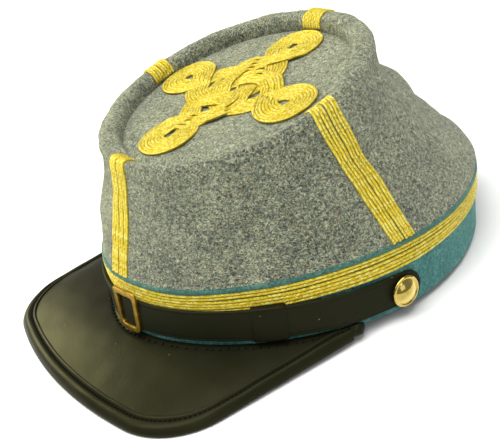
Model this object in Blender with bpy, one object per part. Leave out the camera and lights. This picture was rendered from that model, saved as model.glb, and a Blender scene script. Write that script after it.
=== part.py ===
"""An officer's kepi cap, standing on its peak and the back of its band.

The cap frame has +Z up from the plane of the band's lower edge, +X to the
wearer's left, +Y to the back, and its origin at the middle of the band's oval.
Sizes are in millimetres, and add_object() turns them into metres. An empty tilts
the whole cap back, so that the peak's edge lies on the ground as the band does.
"""
import math
from collections import namedtuple

import bpy
import numpy as np

MM = 0.001
REST_EMPTY = "cap_at_rest"      # parent of every piece
GAP = 0.3                       # clearance between neighbouring pieces

# The head oval, a superellipse that narrows from the band's foot to the welt.
OVAL_POWER = 1.9
FOOT_HALF_WIDTH = 87.2
FOOT_HALF_LENGTH = 102.0
WELT_HALF_WIDTH = 83.8
WELT_HALF_LENGTH = 102.0
WELT_SHIFT_BACK = 3.6
WELT_TOP = 30.6                 # height of the welt's upper edge
TUCK_DEG = -112                 # where the foot is drawn in, at the right front
TUCK_HALF_DEG = 34
TUCK_IN = 4.0
CLOTH = 2.6                     # wall of felted wool
RING_STATIONS = 56              # angular stations that nested rings share

WELT_HEIGHT = 3.3
WELT_PROUD = 1.1
WELT_SHOULDER = 0.8

# The rolled rim: an ellipse section carried round a circle that tips forward.
RIM_HALF_WIDTH = 63.5
RIM_HALF_LENGTH = 62.6
RIM_CENTRE_Y = -20.6
RIM_CENTRE_Z = 92.1
RIM_TILT_DEG = 13.8
ROLL_HALF_WIDTH = 5.6
ROLL_HALF_HEIGHT = 4.2
ROLL_START_DEG = -40            # where the side's cloth meets the roll
ROLL_LINING_INSET = 0.5         # where the cloth turns down again inside
DISC_DROP = 3.2                 # disc's face below the roll's centre line
DISC_HUB = 1.2                  # radius of the disc's middle face
SIDE_HOLLOW = 1.0               # how far the side draws in between welt and rim
CROWN_FOOT_INSET = 0.6          # crown cloth's foot behind the band's face

SIDE_ROWS = np.array([0.0, 0.14, 0.28, 0.42, 0.55, 0.67, 0.78, 0.88, 0.95])
LINING_ROWS = (0.88, 0.67, 0.42, 0.2, 0.0)
ROLL_ROWS = np.radians([ROLL_START_DEG, -5, 30, 65, 100, 135, 170])

# Folds of the crown side: where round the oval, how far up from the welt (0) to
# the rim (1), their half extents, and how far they stand out (+) or sink (-).
Fold = namedtuple("Fold", "around_deg up half_deg half_up out_mm")
FOLDS = (
    Fold(73.8, 0.73, 52.7, 0.14, -8.6),   # deep dent in the slump at the back
    Fold(78.5, 0.68, 39.5, 0.13, 4.0),    # roll of cloth inside the dent
    Fold(59.8, 0.49, 39.2, 0.13, -3.5),   # crease under it
    Fold(93.5, 0.06, 53.1, 0.21, 5.7),    # full foot of the back
    Fold(122, 0.60, 36, 0.16, 2.5),       # slump on the other back quarter
    Fold(62.8, 0.89, 34.2, 0.12, -6.1),   # dent right under the rim
    Fold(8, 0.66, 20, 0.13, -2.0),        # shallow dent across the side braid
    Fold(-38, 0.52, 34, 0.26, 1.2),       # soft fullness at the front quarter
    Fold(-124, 0.38, 50, 0.38, 2.2),      # and at the other front quarter
)

# Soutache strands.
STRAND_RISE = 1.1
STRAND_SLOPE = 0.12             # share of the width in each sloping side
BAND_STRANDS = 3
BAND_STRAND_PITCH = 2.6
BRAID_STRANDS = 4
BRAID_STRAND_PITCH = 2.95
BRAID_LIFT = 0.4                # braid's back off the curved skin
BRAID_TOP_LEVEL = -0.6          # braid's end, from the roll's centre line
Braid = namedtuple("Braid", "name foot_deg top_deg")
BRAIDS = (
    Braid("front", -87.5, -91.0),
    Braid("left", -3.0, 2.5),
    Braid("back", 90.0, 95.0),
    Braid("right", 180.0, 184.0),
)

# The knot's centre line over one eighth of its length, from a lobe's tip to the
# point nearest the centre: across and out from the centre, and ribbon width.
KnotRow = namedtuple("KnotRow", "across_mm out_mm width_mm")
KNOT_EIGHTH = (
    KnotRow(0.0, 48.0, 11.8),
    KnotRow(5.7, 45.8, 11.8),
    KnotRow(8.1, 40.4, 11.8),
    KnotRow(6.2, 33.8, 11.6),
    KnotRow(0.0, 27.0, 11.4),
    KnotRow(-7.4, 20.4, 11.0),
    KnotRow(-11.5, 13.2, 10.2),
    KnotRow(-10.8, 6.0, 8.8),
    KnotRow(-8.0, 0.0, 7.8),
    KnotRow(-4.2, -4.2, 7.2),
)
KNOT_CENTRE_Y = 0.8
KNOT_RISE = 1.5
KNOT_LIFT = 0.15                # each later ribbon lies a little higher
KNOT_STEP = 0.02                # keeps the faces of crossing ribbons apart
KNOT_END_SHARE = 0.9            # narrower last station of each ribbon
KNOT_STATIONS = 36

# Chin strap and what is on it; heights are along the band's wall.
STRAP_WIDTH = 14.0
STRAP_THICK = 1.6
STRAP_END_DEG = 1.0
STRAP_FRONT_HEIGHT = 13.2
STRAP_END_HEIGHT = 9.2
STRAP_RISE_POWER = 1.5
STRAP_STAND_OFF = 1.7           # room for the keeper's back layer
STRAP_EASE_START_DEG = 8        # where the strap starts to leave the band
STRAP_EASE_DEG = 14
STRAP_STATIONS = 50
STRAP_END_STATIONS = 5
STRAP_BLUNT = 0.25              # turn at which the round end is cut off
KEEPER_DEG = -40.3
KEEPER_LENGTH = 13.8
KEEPER_THICK = 1.1
KEEPER_MARGIN = 0.4             # wall above and below the strap
KEEPER_STATIONS = 4
BUCKLE_DEG = -82.6
BUCKLE_HEIGHT_ON_WALL = 15.7
BUCKLE_WIDTH = 15.6
BUCKLE_HEIGHT = 20.3
BUCKLE_BAR = 3.0
BUCKLE_THICK = 1.5
BUCKLE_CORNER = 1.3             # cut off each corner of the frame
BUCKLE_WINDOW_CORNER = 0.6
BUCKLE_EDGE = 0.35              # bevel round the frame's face
BUTTON_DEG = -5.4
BUTTON_HEIGHT_ON_WALL = 9.2
BUTTON_LIFT = 2.45              # button's back off the band
Turned = namedtuple("Turned", "radius_mm out_mm")
BUTTON_PROFILE = (
    Turned(0.0, 0.0),
    Turned(6.5, 0.0),
    Turned(7.25, 0.8),
    Turned(7.05, 1.7),
    Turned(6.3, 1.9),
    Turned(5.8, 1.5),
    Turned(4.2, 2.9),
    Turned(2.1, 3.7),
    Turned(0.0, 4.0),
)
BUTTON_SIDES = 14

# Peak.
PEAK_THICK = 2.2
PEAK_FRONT_Y = -140.4
PEAK_BOW = 14.7                 # how far the front edge recedes at PEAK_HALF_WIDTH
PEAK_HALF_WIDTH = 81.9
PEAK_FRONT_HALF = 54.0          # front stretch, up to where a corner starts
PEAK_CORNER_RADIUS = 34.6
PEAK_CORNER_END_DEG = -5
PEAK_TIP_Y = -36.6
PEAK_TIP_OUT = 5.0              # outer edge beyond the band at the tip
PEAK_TIP_Z = -0.6
PEAK_EDGE_Z = -6.0
PEAK_CORNER_DROP = 1.0
PEAK_SEAM_Z = 2.2               # middle of the plate where it meets the band
PEAK_SEAM_TIP_Z = 0.7           # and at the tips
PEAK_SEAM_POWER = 0.7
PEAK_SWELL = 1.6                # upward swell between seam and edge
PEAK_SWELL_WIDTH = 40.0         # narrower stretches swell less
PEAK_SHARES = (0.0, 0.3, 0.6, 0.85, 1.0)    # rows from seam to edge
PEAK_STATIONS = 44
BINDING_DEPTH = 6.6
BINDING_CLEAR = 1.2             # binding's inner edge off the band
BINDING_OUT = 0.9               # binding beyond the plate's edge
BINDING_LAYER = 1.0
BINDING_CREST = 2.0             # crest of the roll, back from the edge
BINDING_CREST_RISE = 0.3
BINDING_ROUND = 0.6             # height of the shoulder as a share of the roll's

# Wrapped ends of the binding: their section, and how it shrinks along them.
BINDING_END_LENGTH = 5.4
BINDING_END_GAP = 0.4
BINDING_END_Z = 0.4             # middle of the section above the band's foot
EndCorner = namedtuple("EndCorner", "out_mm up_mm")
BINDING_END_SECTION = (
    EndCorner(0.0, -2.2),
    EndCorner(0.0, 2.2),
    EndCorner(3.2, 2.2),
    EndCorner(4.6, 0.6),
    EndCorner(3.4, -2.2),
)
EndStation = namedtuple("EndStation", "along size")
BINDING_END_TAPER = (
    EndStation(0.0, 1.0),
    EndStation(0.35, 1.0),
    EndStation(0.75, 0.85),
    EndStation(1.0, 0.55),
)

COLOURS = {
    "grey wool": ((0.20, 0.20, 0.18), 0.95, 0.0),
    "teal wool": ((0.035, 0.15, 0.16), 0.95, 0.0),
    "gold soutache": ((0.80, 0.58, 0.13), 0.35, 0.9),
    "black leather": ((0.022, 0.022, 0.017), 0.45, 0.0),
    "brass": ((0.55, 0.38, 0.11), 0.35, 1.0),
    "gilt": ((0.90, 0.68, 0.25), 0.15, 1.0),
}


def material(name):
    """A Principled material with the named colour, roughness and metal."""
    found = bpy.data.materials.get(name)
    if found:
        return found
    colour, roughness, metal = COLOURS[name]
    made = bpy.data.materials.new(name)
    made.use_nodes = True
    shader = made.node_tree.nodes["Principled BSDF"]
    shader.inputs["Base Color"].default_value = (*colour, 1.0)
    shader.inputs["Roughness"].default_value = roughness
    shader.inputs["Metallic"].default_value = metal
    return made


def volume(points, faces):
    """Signed volume of a closed mesh, by fans from each face's first corner."""
    total = 0.0
    for face in faces:
        corners = points[list(face)]
        cross = np.cross(corners[1:-1], corners[2:])
        total += float((cross @ corners[0]).sum())
    return total / 6.0


def add_object(name, points, faces, material_name):
    """One closed mesh object in millimetres, with its faces turned outward."""
    points = np.asarray(points, float)
    if volume(points, faces) < 0:
        faces = [face[::-1] for face in faces]
    mesh = bpy.data.meshes.new(name)
    mesh.from_pydata((points * MM).tolist(), [], faces)
    mesh.validate()
    mesh.shade_smooth()
    mesh.set_sharp_from_angle(angle=math.radians(40))
    mesh.materials.append(material(material_name))
    thing = bpy.data.objects.new(name, mesh)
    bpy.context.collection.objects.link(thing)
    thing.parent = bpy.data.objects[REST_EMPTY]
    return thing


def loft(grid, closed):
    """Points and faces of a skin over grid[station, corner], its corners closed
    round each station and its stations closed into a ring or capped."""
    stations, corners = grid.shape[:2]
    last = stations if closed else stations - 1
    faces = []
    for i in range(last):
        near, far = i * corners, (i + 1) % stations * corners
        for j in range(corners):
            k = (j + 1) % corners
            faces.append((near + j, far + j, far + k, near + k))
    if not closed:
        faces.append(tuple(range(corners)))
        faces.append(tuple((stations - 1) * corners + j for j in range(corners))[::-1])
    return grid.reshape(-1, 3), faces


def signed_power(value, power):
    """A power that keeps the sign of its base."""
    return np.sign(value) * np.abs(value) ** power


def foot_tuck(around):
    """How far the band's foot is drawn in: a bell round the right front."""
    turn = np.angle(np.exp(1j * (around - math.radians(TUCK_DEG))))
    share = np.clip(np.abs(turn) / math.radians(TUCK_HALF_DEG), 0, 1)
    return TUCK_IN * 0.5 * (1 + np.cos(math.pi * share))


def wall(around, height, out=0.0):
    """Point on the band's outer face: an oval whose half axes run straight from
    foot to welt, at an angle round it and a height up it, moved outward. The foot's
    tuck fades out up to the welt."""
    around, height, out = np.broadcast_arrays(around, height, out)
    up = height / WELT_TOP
    out = out - foot_tuck(around) * np.clip(1 - up, 0, 1)
    half_width = FOOT_HALF_WIDTH + (WELT_HALF_WIDTH - FOOT_HALF_WIDTH) * up + out
    half_length = FOOT_HALF_LENGTH + (WELT_HALF_LENGTH - FOOT_HALF_LENGTH) * up + out
    x = half_width * signed_power(np.cos(around), 2 / OVAL_POWER)
    y = WELT_SHIFT_BACK * up + half_length * signed_power(np.sin(around), 2 / OVAL_POWER)
    return np.stack([x, y, height + 0.0 * x], -1)


def turn_per_mm(around, height):
    """Turn round the oval, in radians, that moves a point 1 mm along the wall."""
    step = 0.005
    moved = wall(around + step, height) - wall(around - step, height)
    return 2 * step / np.linalg.norm(moved)


def rim_axes():
    """The disc's directions: across, toward the back, and up out of it."""
    tilt = math.radians(RIM_TILT_DEG)
    back = np.array([0.0, math.cos(tilt), math.sin(tilt)])
    normal = np.array([0.0, -math.sin(tilt), math.cos(tilt)])
    return np.array([1.0, 0.0, 0.0]), back, normal


def rim_point(around, outward, upward):
    """Point beside the roll's centre line, outward in the disc's plane and up
    along its normal."""
    across, back, normal = rim_axes()
    around, outward, upward = np.broadcast_arrays(around, outward, upward)
    cosine, sine = np.cos(around), np.sin(around)
    x = (RIM_HALF_WIDTH + outward) * cosine
    y = (RIM_HALF_LENGTH + outward) * sine
    centre = np.array([0.0, RIM_CENTRE_Y, RIM_CENTRE_Z])
    return centre + x[..., None] * across + y[..., None] * back + upward[..., None] * normal


def roll(around, turn):
    """Point on the roll's skin at an angle round its section, 0 facing outward
    and 90 degrees at the crest."""
    outward = ROLL_HALF_WIDTH * np.cos(turn)
    return rim_point(around, outward, ROLL_HALF_HEIGHT * np.sin(turn))


def fold_offset(around, up):
    """Sum of the folds: each a cosine bell round the oval and up the side."""
    total = np.zeros(np.broadcast(around, up).shape)
    for fold in FOLDS:
        turn = np.angle(np.exp(1j * (around - math.radians(fold.around_deg))))
        a = np.clip(np.abs(turn) / math.radians(fold.half_deg), 0, 1)
        b = np.clip(np.abs(up - fold.up) / fold.half_up, 0, 1)
        bell = 0.25 * (1 + np.cos(math.pi * a)) * (1 + np.cos(math.pi * b))
        total = total + fold.out_mm * bell
    return total


def side(around, up, inside=0.0):
    """Point on the crown side: a straight line from welt to roll, drawn in by a
    half sine wave, with the folds added, and moved inward by a wall. The folds
    push level at the foot and a little upward above it."""
    around, up, inside = np.broadcast_arrays(around, up, inside)
    foot = wall(around, WELT_TOP + GAP, -CROWN_FOOT_INSET)
    top = roll(around, math.radians(ROLL_START_DEG))
    line = foot + (top - foot) * up[..., None]
    out = fold_offset(around, up) - SIDE_HOLLOW * np.sin(math.pi * up) - inside
    rise = 0.5 * np.clip(4 * up, 0, 1)
    direction = np.stack([np.cos(around), np.sin(around), rise], -1)
    direction = direction / np.linalg.norm(direction, axis=-1, keepdims=True)
    return line + out[..., None] * direction


def crown_skin(around, last_level=-DISC_DROP):
    """Outer skin rows of the crown from foot to disc, shape (row, angle, 3). The
    last row lies on the recess wall at the given level."""
    rows = [side(around, up) for up in SIDE_ROWS]
    rows += [roll(around, turn) for turn in ROLL_ROWS]
    rows.append(rim_point(around, -ROLL_HALF_WIDTH, last_level))
    return np.array(rows)


def ring_angles():
    """Angles of the stations that every ring shares."""
    return np.arange(RING_STATIONS) * 2 * math.pi / RING_STATIONS


def add_wall_ring(name, corners, material_name):
    """A closed ring round the band, its section given as (height, out) corners."""
    angles = ring_angles()
    grid = np.stack([wall(angles, height, out) for height, out in corners], 1)
    add_object(name, *loft(grid, True), material_name)


def add_band():
    """The teal band, a plain wall."""
    top = WELT_TOP - WELT_HEIGHT - GAP
    corners = ((0.0, 0.0), (top, 0.0), (top, -CLOTH), (0.0, -CLOTH))
    add_wall_ring("band", corners, "teal wool")


def add_welt():
    """The piping: a flat ring with a rounded lip that stands proud of the band."""
    low, high = WELT_TOP - WELT_HEIGHT, WELT_TOP
    corners = (
        (low, -CLOTH),
        (low, WELT_PROUD - WELT_SHOULDER),
        (low + WELT_SHOULDER, WELT_PROUD),
        (high - WELT_SHOULDER, WELT_PROUD),
        (high, WELT_PROUD - WELT_SHOULDER),
        (high, -CLOTH),
    )
    add_wall_ring("welt", corners, "teal wool")


def add_band_braid():
    """Soutache strands round the top of the band, each a flat ring."""
    top = WELT_TOP - WELT_HEIGHT
    slope = BAND_STRAND_PITCH * STRAND_SLOPE
    for index in range(BAND_STRANDS):
        high = top - index * BAND_STRAND_PITCH - GAP
        low = high - BAND_STRAND_PITCH + GAP
        corners = (
            (low, GAP),
            (low + slope, GAP + STRAND_RISE),
            (high - slope, GAP + STRAND_RISE),
            (high, GAP),
        )
        add_wall_ring(f"band_braid_{index + 1}", corners, "gold soutache")


def add_crown_side():
    """The crown's wool shell: up the side, over the roll, down to the disc, and
    back under the roll along the inner face."""
    angles = ring_angles()
    rows = list(crown_skin(angles))
    rows.append(rim_point(angles, -ROLL_HALF_WIDTH, -DISC_DROP - CLOTH))
    rows.append(rim_point(angles, -ROLL_LINING_INSET, -DISC_DROP - CLOTH))
    for up in LINING_ROWS:
        rows.append(side(angles, up, CLOTH))
    add_object("crown_side", *loft(np.stack(rows, 1), True), "grey wool")


def add_crown_top():
    """The sunk disc: a flat plate that fills the roll's inner circle."""
    angles = ring_angles()
    rim, hub = -ROLL_HALF_WIDTH - GAP, DISC_HUB - RIM_HALF_LENGTH
    top, bottom = -DISC_DROP, -DISC_DROP - CLOTH
    rows = []
    for inward, level in ((hub, top), (0.5 * (hub + rim), top), (rim, top), (rim, bottom), (hub, bottom)):
        rows.append(rim_point(angles, inward, level))
    points = np.concatenate(rows)
    n = RING_STATIONS
    faces = []
    for row in range(len(rows) - 1):
        for j in range(n):
            k = (j + 1) % n
            faces.append((row * n + j, row * n + k, (row + 1) * n + k, (row + 1) * n + j))
    faces.append(tuple(range(n))[::-1])
    faces.append(tuple((len(rows) - 1) * n + j for j in range(n)))
    add_object("crown_top", points, faces, "grey wool")


def add_braids():
    """Strands from the welt up over the roll and down to the disc. Each follows
    the crown's skin at a fixed distance beside the braid's middle."""
    step = 0.002
    for braid in BRAIDS:
        rows = np.arange(len(SIDE_ROWS) + len(ROLL_ROWS) + 1)
        lean = (braid.top_deg - braid.foot_deg) * rows / rows[-1]
        middle = np.radians(braid.foot_deg + lean)

        def skin_at(offsets):
            """Skin point of each row at its own angle."""
            angles = middle + offsets
            return np.array([crown_skin(angles, BRAID_TOP_LEVEL)[row, row] for row in rows])

        here = skin_at(0.0)
        aside = (skin_at(step) - skin_at(-step)) / (2 * step)
        spread = np.linalg.norm(aside, axis=1)
        for index in range(BRAID_STRANDS):
            place = (index - (BRAID_STRANDS - 1) / 2) * BRAID_STRAND_PITCH
            half = (BRAID_STRAND_PITCH - GAP) / 2
            edges = [skin_at((place + half * hand) / spread) for hand in (-1, 1)]
            along = np.gradient((edges[0] + edges[1]) / 2, axis=0)
            normal = np.cross(edges[1] - edges[0], along)
            normal /= np.linalg.norm(normal, axis=1, keepdims=True)
            if normal[0, :2] @ here[0, :2] < 0:
                normal = -normal
            low, high = BRAID_LIFT, BRAID_LIFT + STRAND_RISE
            inset = (edges[1] - edges[0]) * STRAND_SLOPE
            corners = (
                edges[0] + normal * low,
                edges[0] + inset + normal * high,
                edges[1] - inset + normal * high,
                edges[1] + normal * low,
            )
            grid = np.stack(corners, 1)
            add_object(f"{braid.name}_braid_{index + 1}", *loft(grid, False), "gold soutache")


def spline(table, samples):
    """Smooth samples through a closed table of rows, by Catmull-Rom pieces."""
    table = np.asarray(table, float)
    count = len(table)
    place = np.linspace(0, count, samples, endpoint=False)
    index = place.astype(int)
    t = (place - index)[:, None]
    a, b, c, d = (table[(index + k) % count] for k in (-1, 0, 1, 2))
    return 0.5 * (2 * b + (c - a) * t + (2 * a - 5 * b + 4 * c - d) * t ** 2
                  + (3 * b - a - 3 * c + d) * t ** 3)


def knot_table():
    """The whole knot's rows: the eighth, its mirror image in the diagonal, and
    their copies turned by a quarter."""
    mirrored = [(row.out_mm, row.across_mm, row.width_mm) for row in reversed(KNOT_EIGHTH[1:-1])]
    quarter = list(KNOT_EIGHTH) + mirrored
    whole = []
    for turns in range(4):
        for x, y, width in quarter:
            for _ in range(turns):
                x, y = y, -x
            whole.append((x, y, width))
    return whole


def add_top_knot():
    """The knot: four ribbons, each from lobe to lobe, joined into one body where
    they cross."""
    samples = KNOT_STATIONS * 4
    path = spline(knot_table(), samples)
    xy, width = path[:, :2], path[:, 2]
    ahead = np.roll(xy, -1, 0) - np.roll(xy, 1, 0)
    ahead /= np.linalg.norm(ahead, axis=1, keepdims=True)
    beside = np.stack([-ahead[:, 1], ahead[:, 0]], 1)
    across, back, normal = rim_axes()
    centre = np.array([0.0, RIM_CENTRE_Y, RIM_CENTRE_Z]) + KNOT_CENTRE_Y * back
    ribbons = []
    for arc in range(4):
        index = np.arange(arc * KNOT_STATIONS - 1, (arc + 1) * KNOT_STATIONS + 2) % samples
        share = np.ones(len(index)) - KNOT_STEP * (arc % 2)
        share[[0, -1]] = KNOT_END_SHARE
        base = GAP - DISC_DROP + KNOT_STEP * arc
        top = base + KNOT_RISE + KNOT_LIFT * arc
        rows = []
        for hand, level in ((-1, base), (-1, top), (1, top), (1, base)):
            flat = xy[index] + beside[index] * (hand * share * width[index] / 2)[:, None]
            rows.append(centre + flat[:, :1] * across + flat[:, 1:] * back + level * normal)
        name = "top_knot" if arc == 0 else f"knot_arc_{arc}"
        ribbons.append(add_object(name, *loft(np.stack(rows, 1), False), "gold soutache"))
    for ribbon in ribbons[1:]:
        join = ribbons[0].modifiers.new("Join", "BOOLEAN")
        join.operation = "UNION"
        join.solver = "EXACT"
        join.object = ribbon
        ribbon.hide_render = True
        ribbon.display_type = "WIRE"


def strap_centre_height(around):
    """Height of the strap's middle: highest at the front, lower at the ends."""
    rise = np.sin(-around) ** STRAP_RISE_POWER
    return STRAP_END_HEIGHT + (STRAP_FRONT_HEIGHT - STRAP_END_HEIGHT) * rise


def strap_off(around):
    """The strap's inner face from the band: close at the ends, with room for
    the keeper in between."""
    start, stretch = math.radians(STRAP_EASE_START_DEG), math.radians(STRAP_EASE_DEG)
    from_end = np.minimum(-around, around + math.pi)
    ease = np.clip((from_end - start) / stretch, 0, 1)
    return GAP + (STRAP_STAND_OFF - GAP) * ease * ease * (3 - 2 * ease)


def add_chin_strap():
    """The strap: a flat bar bent round the front, with round ends."""
    reach = math.radians(STRAP_END_DEG)
    end = STRAP_WIDTH / 2 * turn_per_mm(-reach * 3, STRAP_END_HEIGHT)
    near = reach - end * (1 - np.cos(np.linspace(STRAP_BLUNT, math.pi / 2, STRAP_END_STATIONS)))
    far = -math.pi - near[::-1]
    middle = np.linspace(near[-1], far[0], STRAP_STATIONS)[1:-1]
    around = np.concatenate([near, middle, far])
    inset = np.minimum(reach - around, around + math.pi + reach) / end
    half = STRAP_WIDTH / 2 * np.sqrt(1 - np.clip(1 - inset, 0, 1) ** 2)
    turn = np.clip(around, -math.pi, 0)
    height, off = strap_centre_height(turn), strap_off(turn)
    corners = []
    for hand, layer in ((-1, 0), (-1, 1), (1, 1), (1, 0)):
        corners.append(wall(around, height + hand * half, off + layer * STRAP_THICK))
    add_object("chin_strap", *loft(np.stack(corners, 1), False), "black leather")


def wall_axes(around, height, out):
    """Point and directions on the band: forward along it, up it, and outward."""
    step = 0.001
    here = wall(around, height, out)
    along = wall(around + step, height, out) - wall(around - step, height, out)
    upward = wall(around, height + step, out) - wall(around, height - step, out)
    along /= np.linalg.norm(along)
    upward /= np.linalg.norm(upward)
    return here, along, upward, np.cross(along, upward)


def cut_rectangle(half_length, half_height, corner):
    """Corners of a rectangle with its corners cut off, counter-clockwise."""
    a, b, c = half_length, half_height, corner
    return np.array([(a, -b + c), (a, b - c), (a - c, b), (0, b), (-a + c, b),
                     (-a, b - c), (-a, -b + c), (-a + c, -b), (0, -b), (a - c, -b)])


def add_strap_buckle():
    """The slide frame over the strap at the front, bent to the band, with its
    edges bevelled."""
    around = math.radians(BUCKLE_DEG)
    per_mm = turn_per_mm(around, BUCKLE_HEIGHT_ON_WALL)
    low = STRAP_STAND_OFF + STRAP_THICK + GAP
    shoulder, high = low + BUCKLE_THICK - BUCKLE_EDGE, low + BUCKLE_THICK
    long, tall = BUCKLE_WIDTH / 2, BUCKLE_HEIGHT / 2
    rings = []
    for inset, corner, out in (
            (0.0, BUCKLE_CORNER, low),
            (0.0, BUCKLE_CORNER, shoulder),
            (BUCKLE_EDGE, BUCKLE_CORNER, high),
            (BUCKLE_BAR - BUCKLE_EDGE, BUCKLE_WINDOW_CORNER, high),
            (BUCKLE_BAR, BUCKLE_WINDOW_CORNER, shoulder),
            (BUCKLE_BAR, BUCKLE_WINDOW_CORNER, low)):
        shape = cut_rectangle(long - inset, tall - inset, corner)
        height = BUCKLE_HEIGHT_ON_WALL + shape[:, 1]
        rings.append(wall(around + shape[:, 0] * per_mm, height, out))
    add_object("strap_buckle", *loft(np.stack(rings, 1), True), "brass")


def add_strap_keeper():
    """The loop round the strap: a rectangular sleeve, its section carried along
    the strap for the loop's length."""
    middle = math.radians(KEEPER_DEG)
    half_turn = KEEPER_LENGTH / 2 * turn_per_mm(middle, STRAP_FRONT_HEIGHT)
    around = np.linspace(middle - half_turn, middle + half_turn, KEEPER_STATIONS)
    height = strap_centre_height(around)
    low, high = STRAP_STAND_OFF - GAP, STRAP_STAND_OFF + STRAP_THICK + GAP
    half = STRAP_WIDTH / 2 + GAP
    rings = ((half, low, high), (half + KEEPER_MARGIN, GAP, high + KEEPER_THICK))
    layers = []
    for reach, back, front in rings:
        for hand, out in ((-1, back), (1, back), (1, front), (-1, front)):
            layers.append(wall(around, height + hand * reach, out))
    points = np.stack(layers, 1).reshape(-1, 3)
    faces = []
    for i in range(KEEPER_STATIONS - 1):
        for j in range(4):
            k = (j + 1) % 4
            near, far = i * 8, (i + 1) * 8
            faces.append((near + k, far + k, far + j, near + j))
            faces.append((near + 4 + j, far + 4 + j, far + 4 + k, near + 4 + k))
    last = (KEEPER_STATIONS - 1) * 8
    for j in range(4):
        k = (j + 1) % 4
        faces.append((4 + j, 4 + k, k, j))
        faces.append((last + j, last + k, last + 4 + k, last + 4 + j))
    add_object("strap_keeper", points, faces, "black leather")


def add_buttons():
    """Domed buttons, turned about the outward direction at each strap end."""
    for name, around in (("left", math.radians(BUTTON_DEG)),
                         ("right", -math.pi - math.radians(BUTTON_DEG))):
        here, along, upward, outward = wall_axes(around, BUTTON_HEIGHT_ON_WALL, BUTTON_LIFT)
        turn = np.arange(BUTTON_SIDES) * 2 * math.pi / BUTTON_SIDES
        spoke = np.cos(turn)[:, None] * along + np.sin(turn)[:, None] * upward
        profile = BUTTON_PROFILE[1:-1]
        points = [here]
        for ring in profile:
            points.extend(here + spoke * ring.radius_mm + outward * ring.out_mm)
        points.append(here + outward * BUTTON_PROFILE[-1].out_mm)
        n = BUTTON_SIDES
        faces = [(0, 1 + (j + 1) % n, 1 + j) for j in range(n)]
        for row in range(len(profile) - 1):
            for j in range(n):
                k = (j + 1) % n
                low, high = 1 + row * n, 1 + (row + 1) * n
                faces.append((low + j, low + k, high + k, high + j))
        last, top = 1 + (len(profile) - 1) * n, len(points) - 1
        faces += [(last + j, last + (j + 1) % n, top) for j in range(n)]
        add_object(f"{name}_button", np.array(points), faces, "gilt")


def peak_outline(samples):
    """The peak's outer edge in plan, from the right tip to the left one: a bowed
    front, round corners and straight sides, at even steps along it."""
    start = PEAK_FRONT_HALF
    front_x = np.linspace(0, start, 16)
    front_y = PEAK_FRONT_Y + PEAK_BOW * (front_x / PEAK_HALF_WIDTH) ** 2
    slope = math.atan(2 * PEAK_BOW * start / PEAK_HALF_WIDTH ** 2)
    centre = (start - PEAK_CORNER_RADIUS * math.sin(slope),
              front_y[-1] + PEAK_CORNER_RADIUS * math.cos(slope))
    turn = np.linspace(slope - math.pi / 2, math.radians(PEAK_CORNER_END_DEG), 16)[1:]
    corner_x = centre[0] + PEAK_CORNER_RADIUS * np.cos(turn)
    corner_y = centre[1] + PEAK_CORNER_RADIUS * np.sin(turn)
    tip = wall(math.asin(PEAK_TIP_Y / FOOT_HALF_LENGTH), 0.0, PEAK_TIP_OUT)
    share = np.linspace(0, 1, 12)[1:]
    line_x = corner_x[-1] + (tip[0] - corner_x[-1]) * share
    line_y = corner_y[-1] + (PEAK_TIP_Y - corner_y[-1]) * share
    x = np.concatenate([front_x, corner_x, line_x])
    y = np.concatenate([front_y, corner_y, line_y])
    x = np.concatenate([-x[:0:-1], x])
    y = np.concatenate([y[:0:-1], y])
    length = np.concatenate([[0], np.cumsum(np.hypot(np.diff(x), np.diff(y)))])
    even = np.linspace(0, length[-1], samples)
    return np.interp(even, length, x), np.interp(even, length, y)


def peak_edge(samples):
    """The middle of the peak's outer edge in space: it falls evenly from the
    tips to the front, and a little more at the corners."""
    x, y = peak_outline(samples)
    fall = np.clip((PEAK_TIP_Y - y) / (PEAK_TIP_Y - PEAK_FRONT_Y), 0, 1)
    z = PEAK_TIP_Z * (1 - fall) + PEAK_EDGE_Z * fall
    z -= PEAK_CORNER_DROP * (x / PEAK_HALF_WIDTH) ** 2 * fall
    return np.stack([x, y, z], -1)


def peak_seam(samples):
    """The peak's inner edge, along the band: highest at the front."""
    tip = math.asin(PEAK_TIP_Y / FOOT_HALF_LENGTH)
    around = np.linspace(-math.pi - tip, tip, samples)
    rise = np.sin(math.pi * np.linspace(0, 1, samples)) ** PEAK_SEAM_POWER
    height = PEAK_SEAM_TIP_Z + (PEAK_SEAM_Z - PEAK_SEAM_TIP_Z) * rise
    return wall(around, height, GAP)


def peak_width(samples):
    """Distance from seam to edge at each station."""
    return np.linalg.norm(peak_edge(samples) - peak_seam(samples), axis=1)


def peak_point(samples, share, rise):
    """Station points at a share of the way from seam (0) to edge (1), on the
    swelling middle surface or a rise above it."""
    seam, edge = peak_seam(samples), peak_edge(samples)
    share = np.broadcast_to(share, samples)
    bulge = np.clip(peak_width(samples) / PEAK_SWELL_WIDTH, 0, 1)
    point = seam + (edge - seam) * share[:, None]
    point[:, 2] += PEAK_SWELL * 4 * share * (1 - share) * bulge + rise
    return point


def add_peak():
    """The peak's leather: a plate from the band's face to inside the binding."""
    n = PEAK_STATIONS
    inside = 1 - (BINDING_LAYER + GAP) / peak_width(n)
    rows = [peak_point(n, share * inside, PEAK_THICK / 2) for share in PEAK_SHARES]
    rows += [peak_point(n, share * inside, -PEAK_THICK / 2) for share in PEAK_SHARES[::-1]]
    add_object("peak", *loft(np.stack(rows, 1), False), "black leather")


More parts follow.
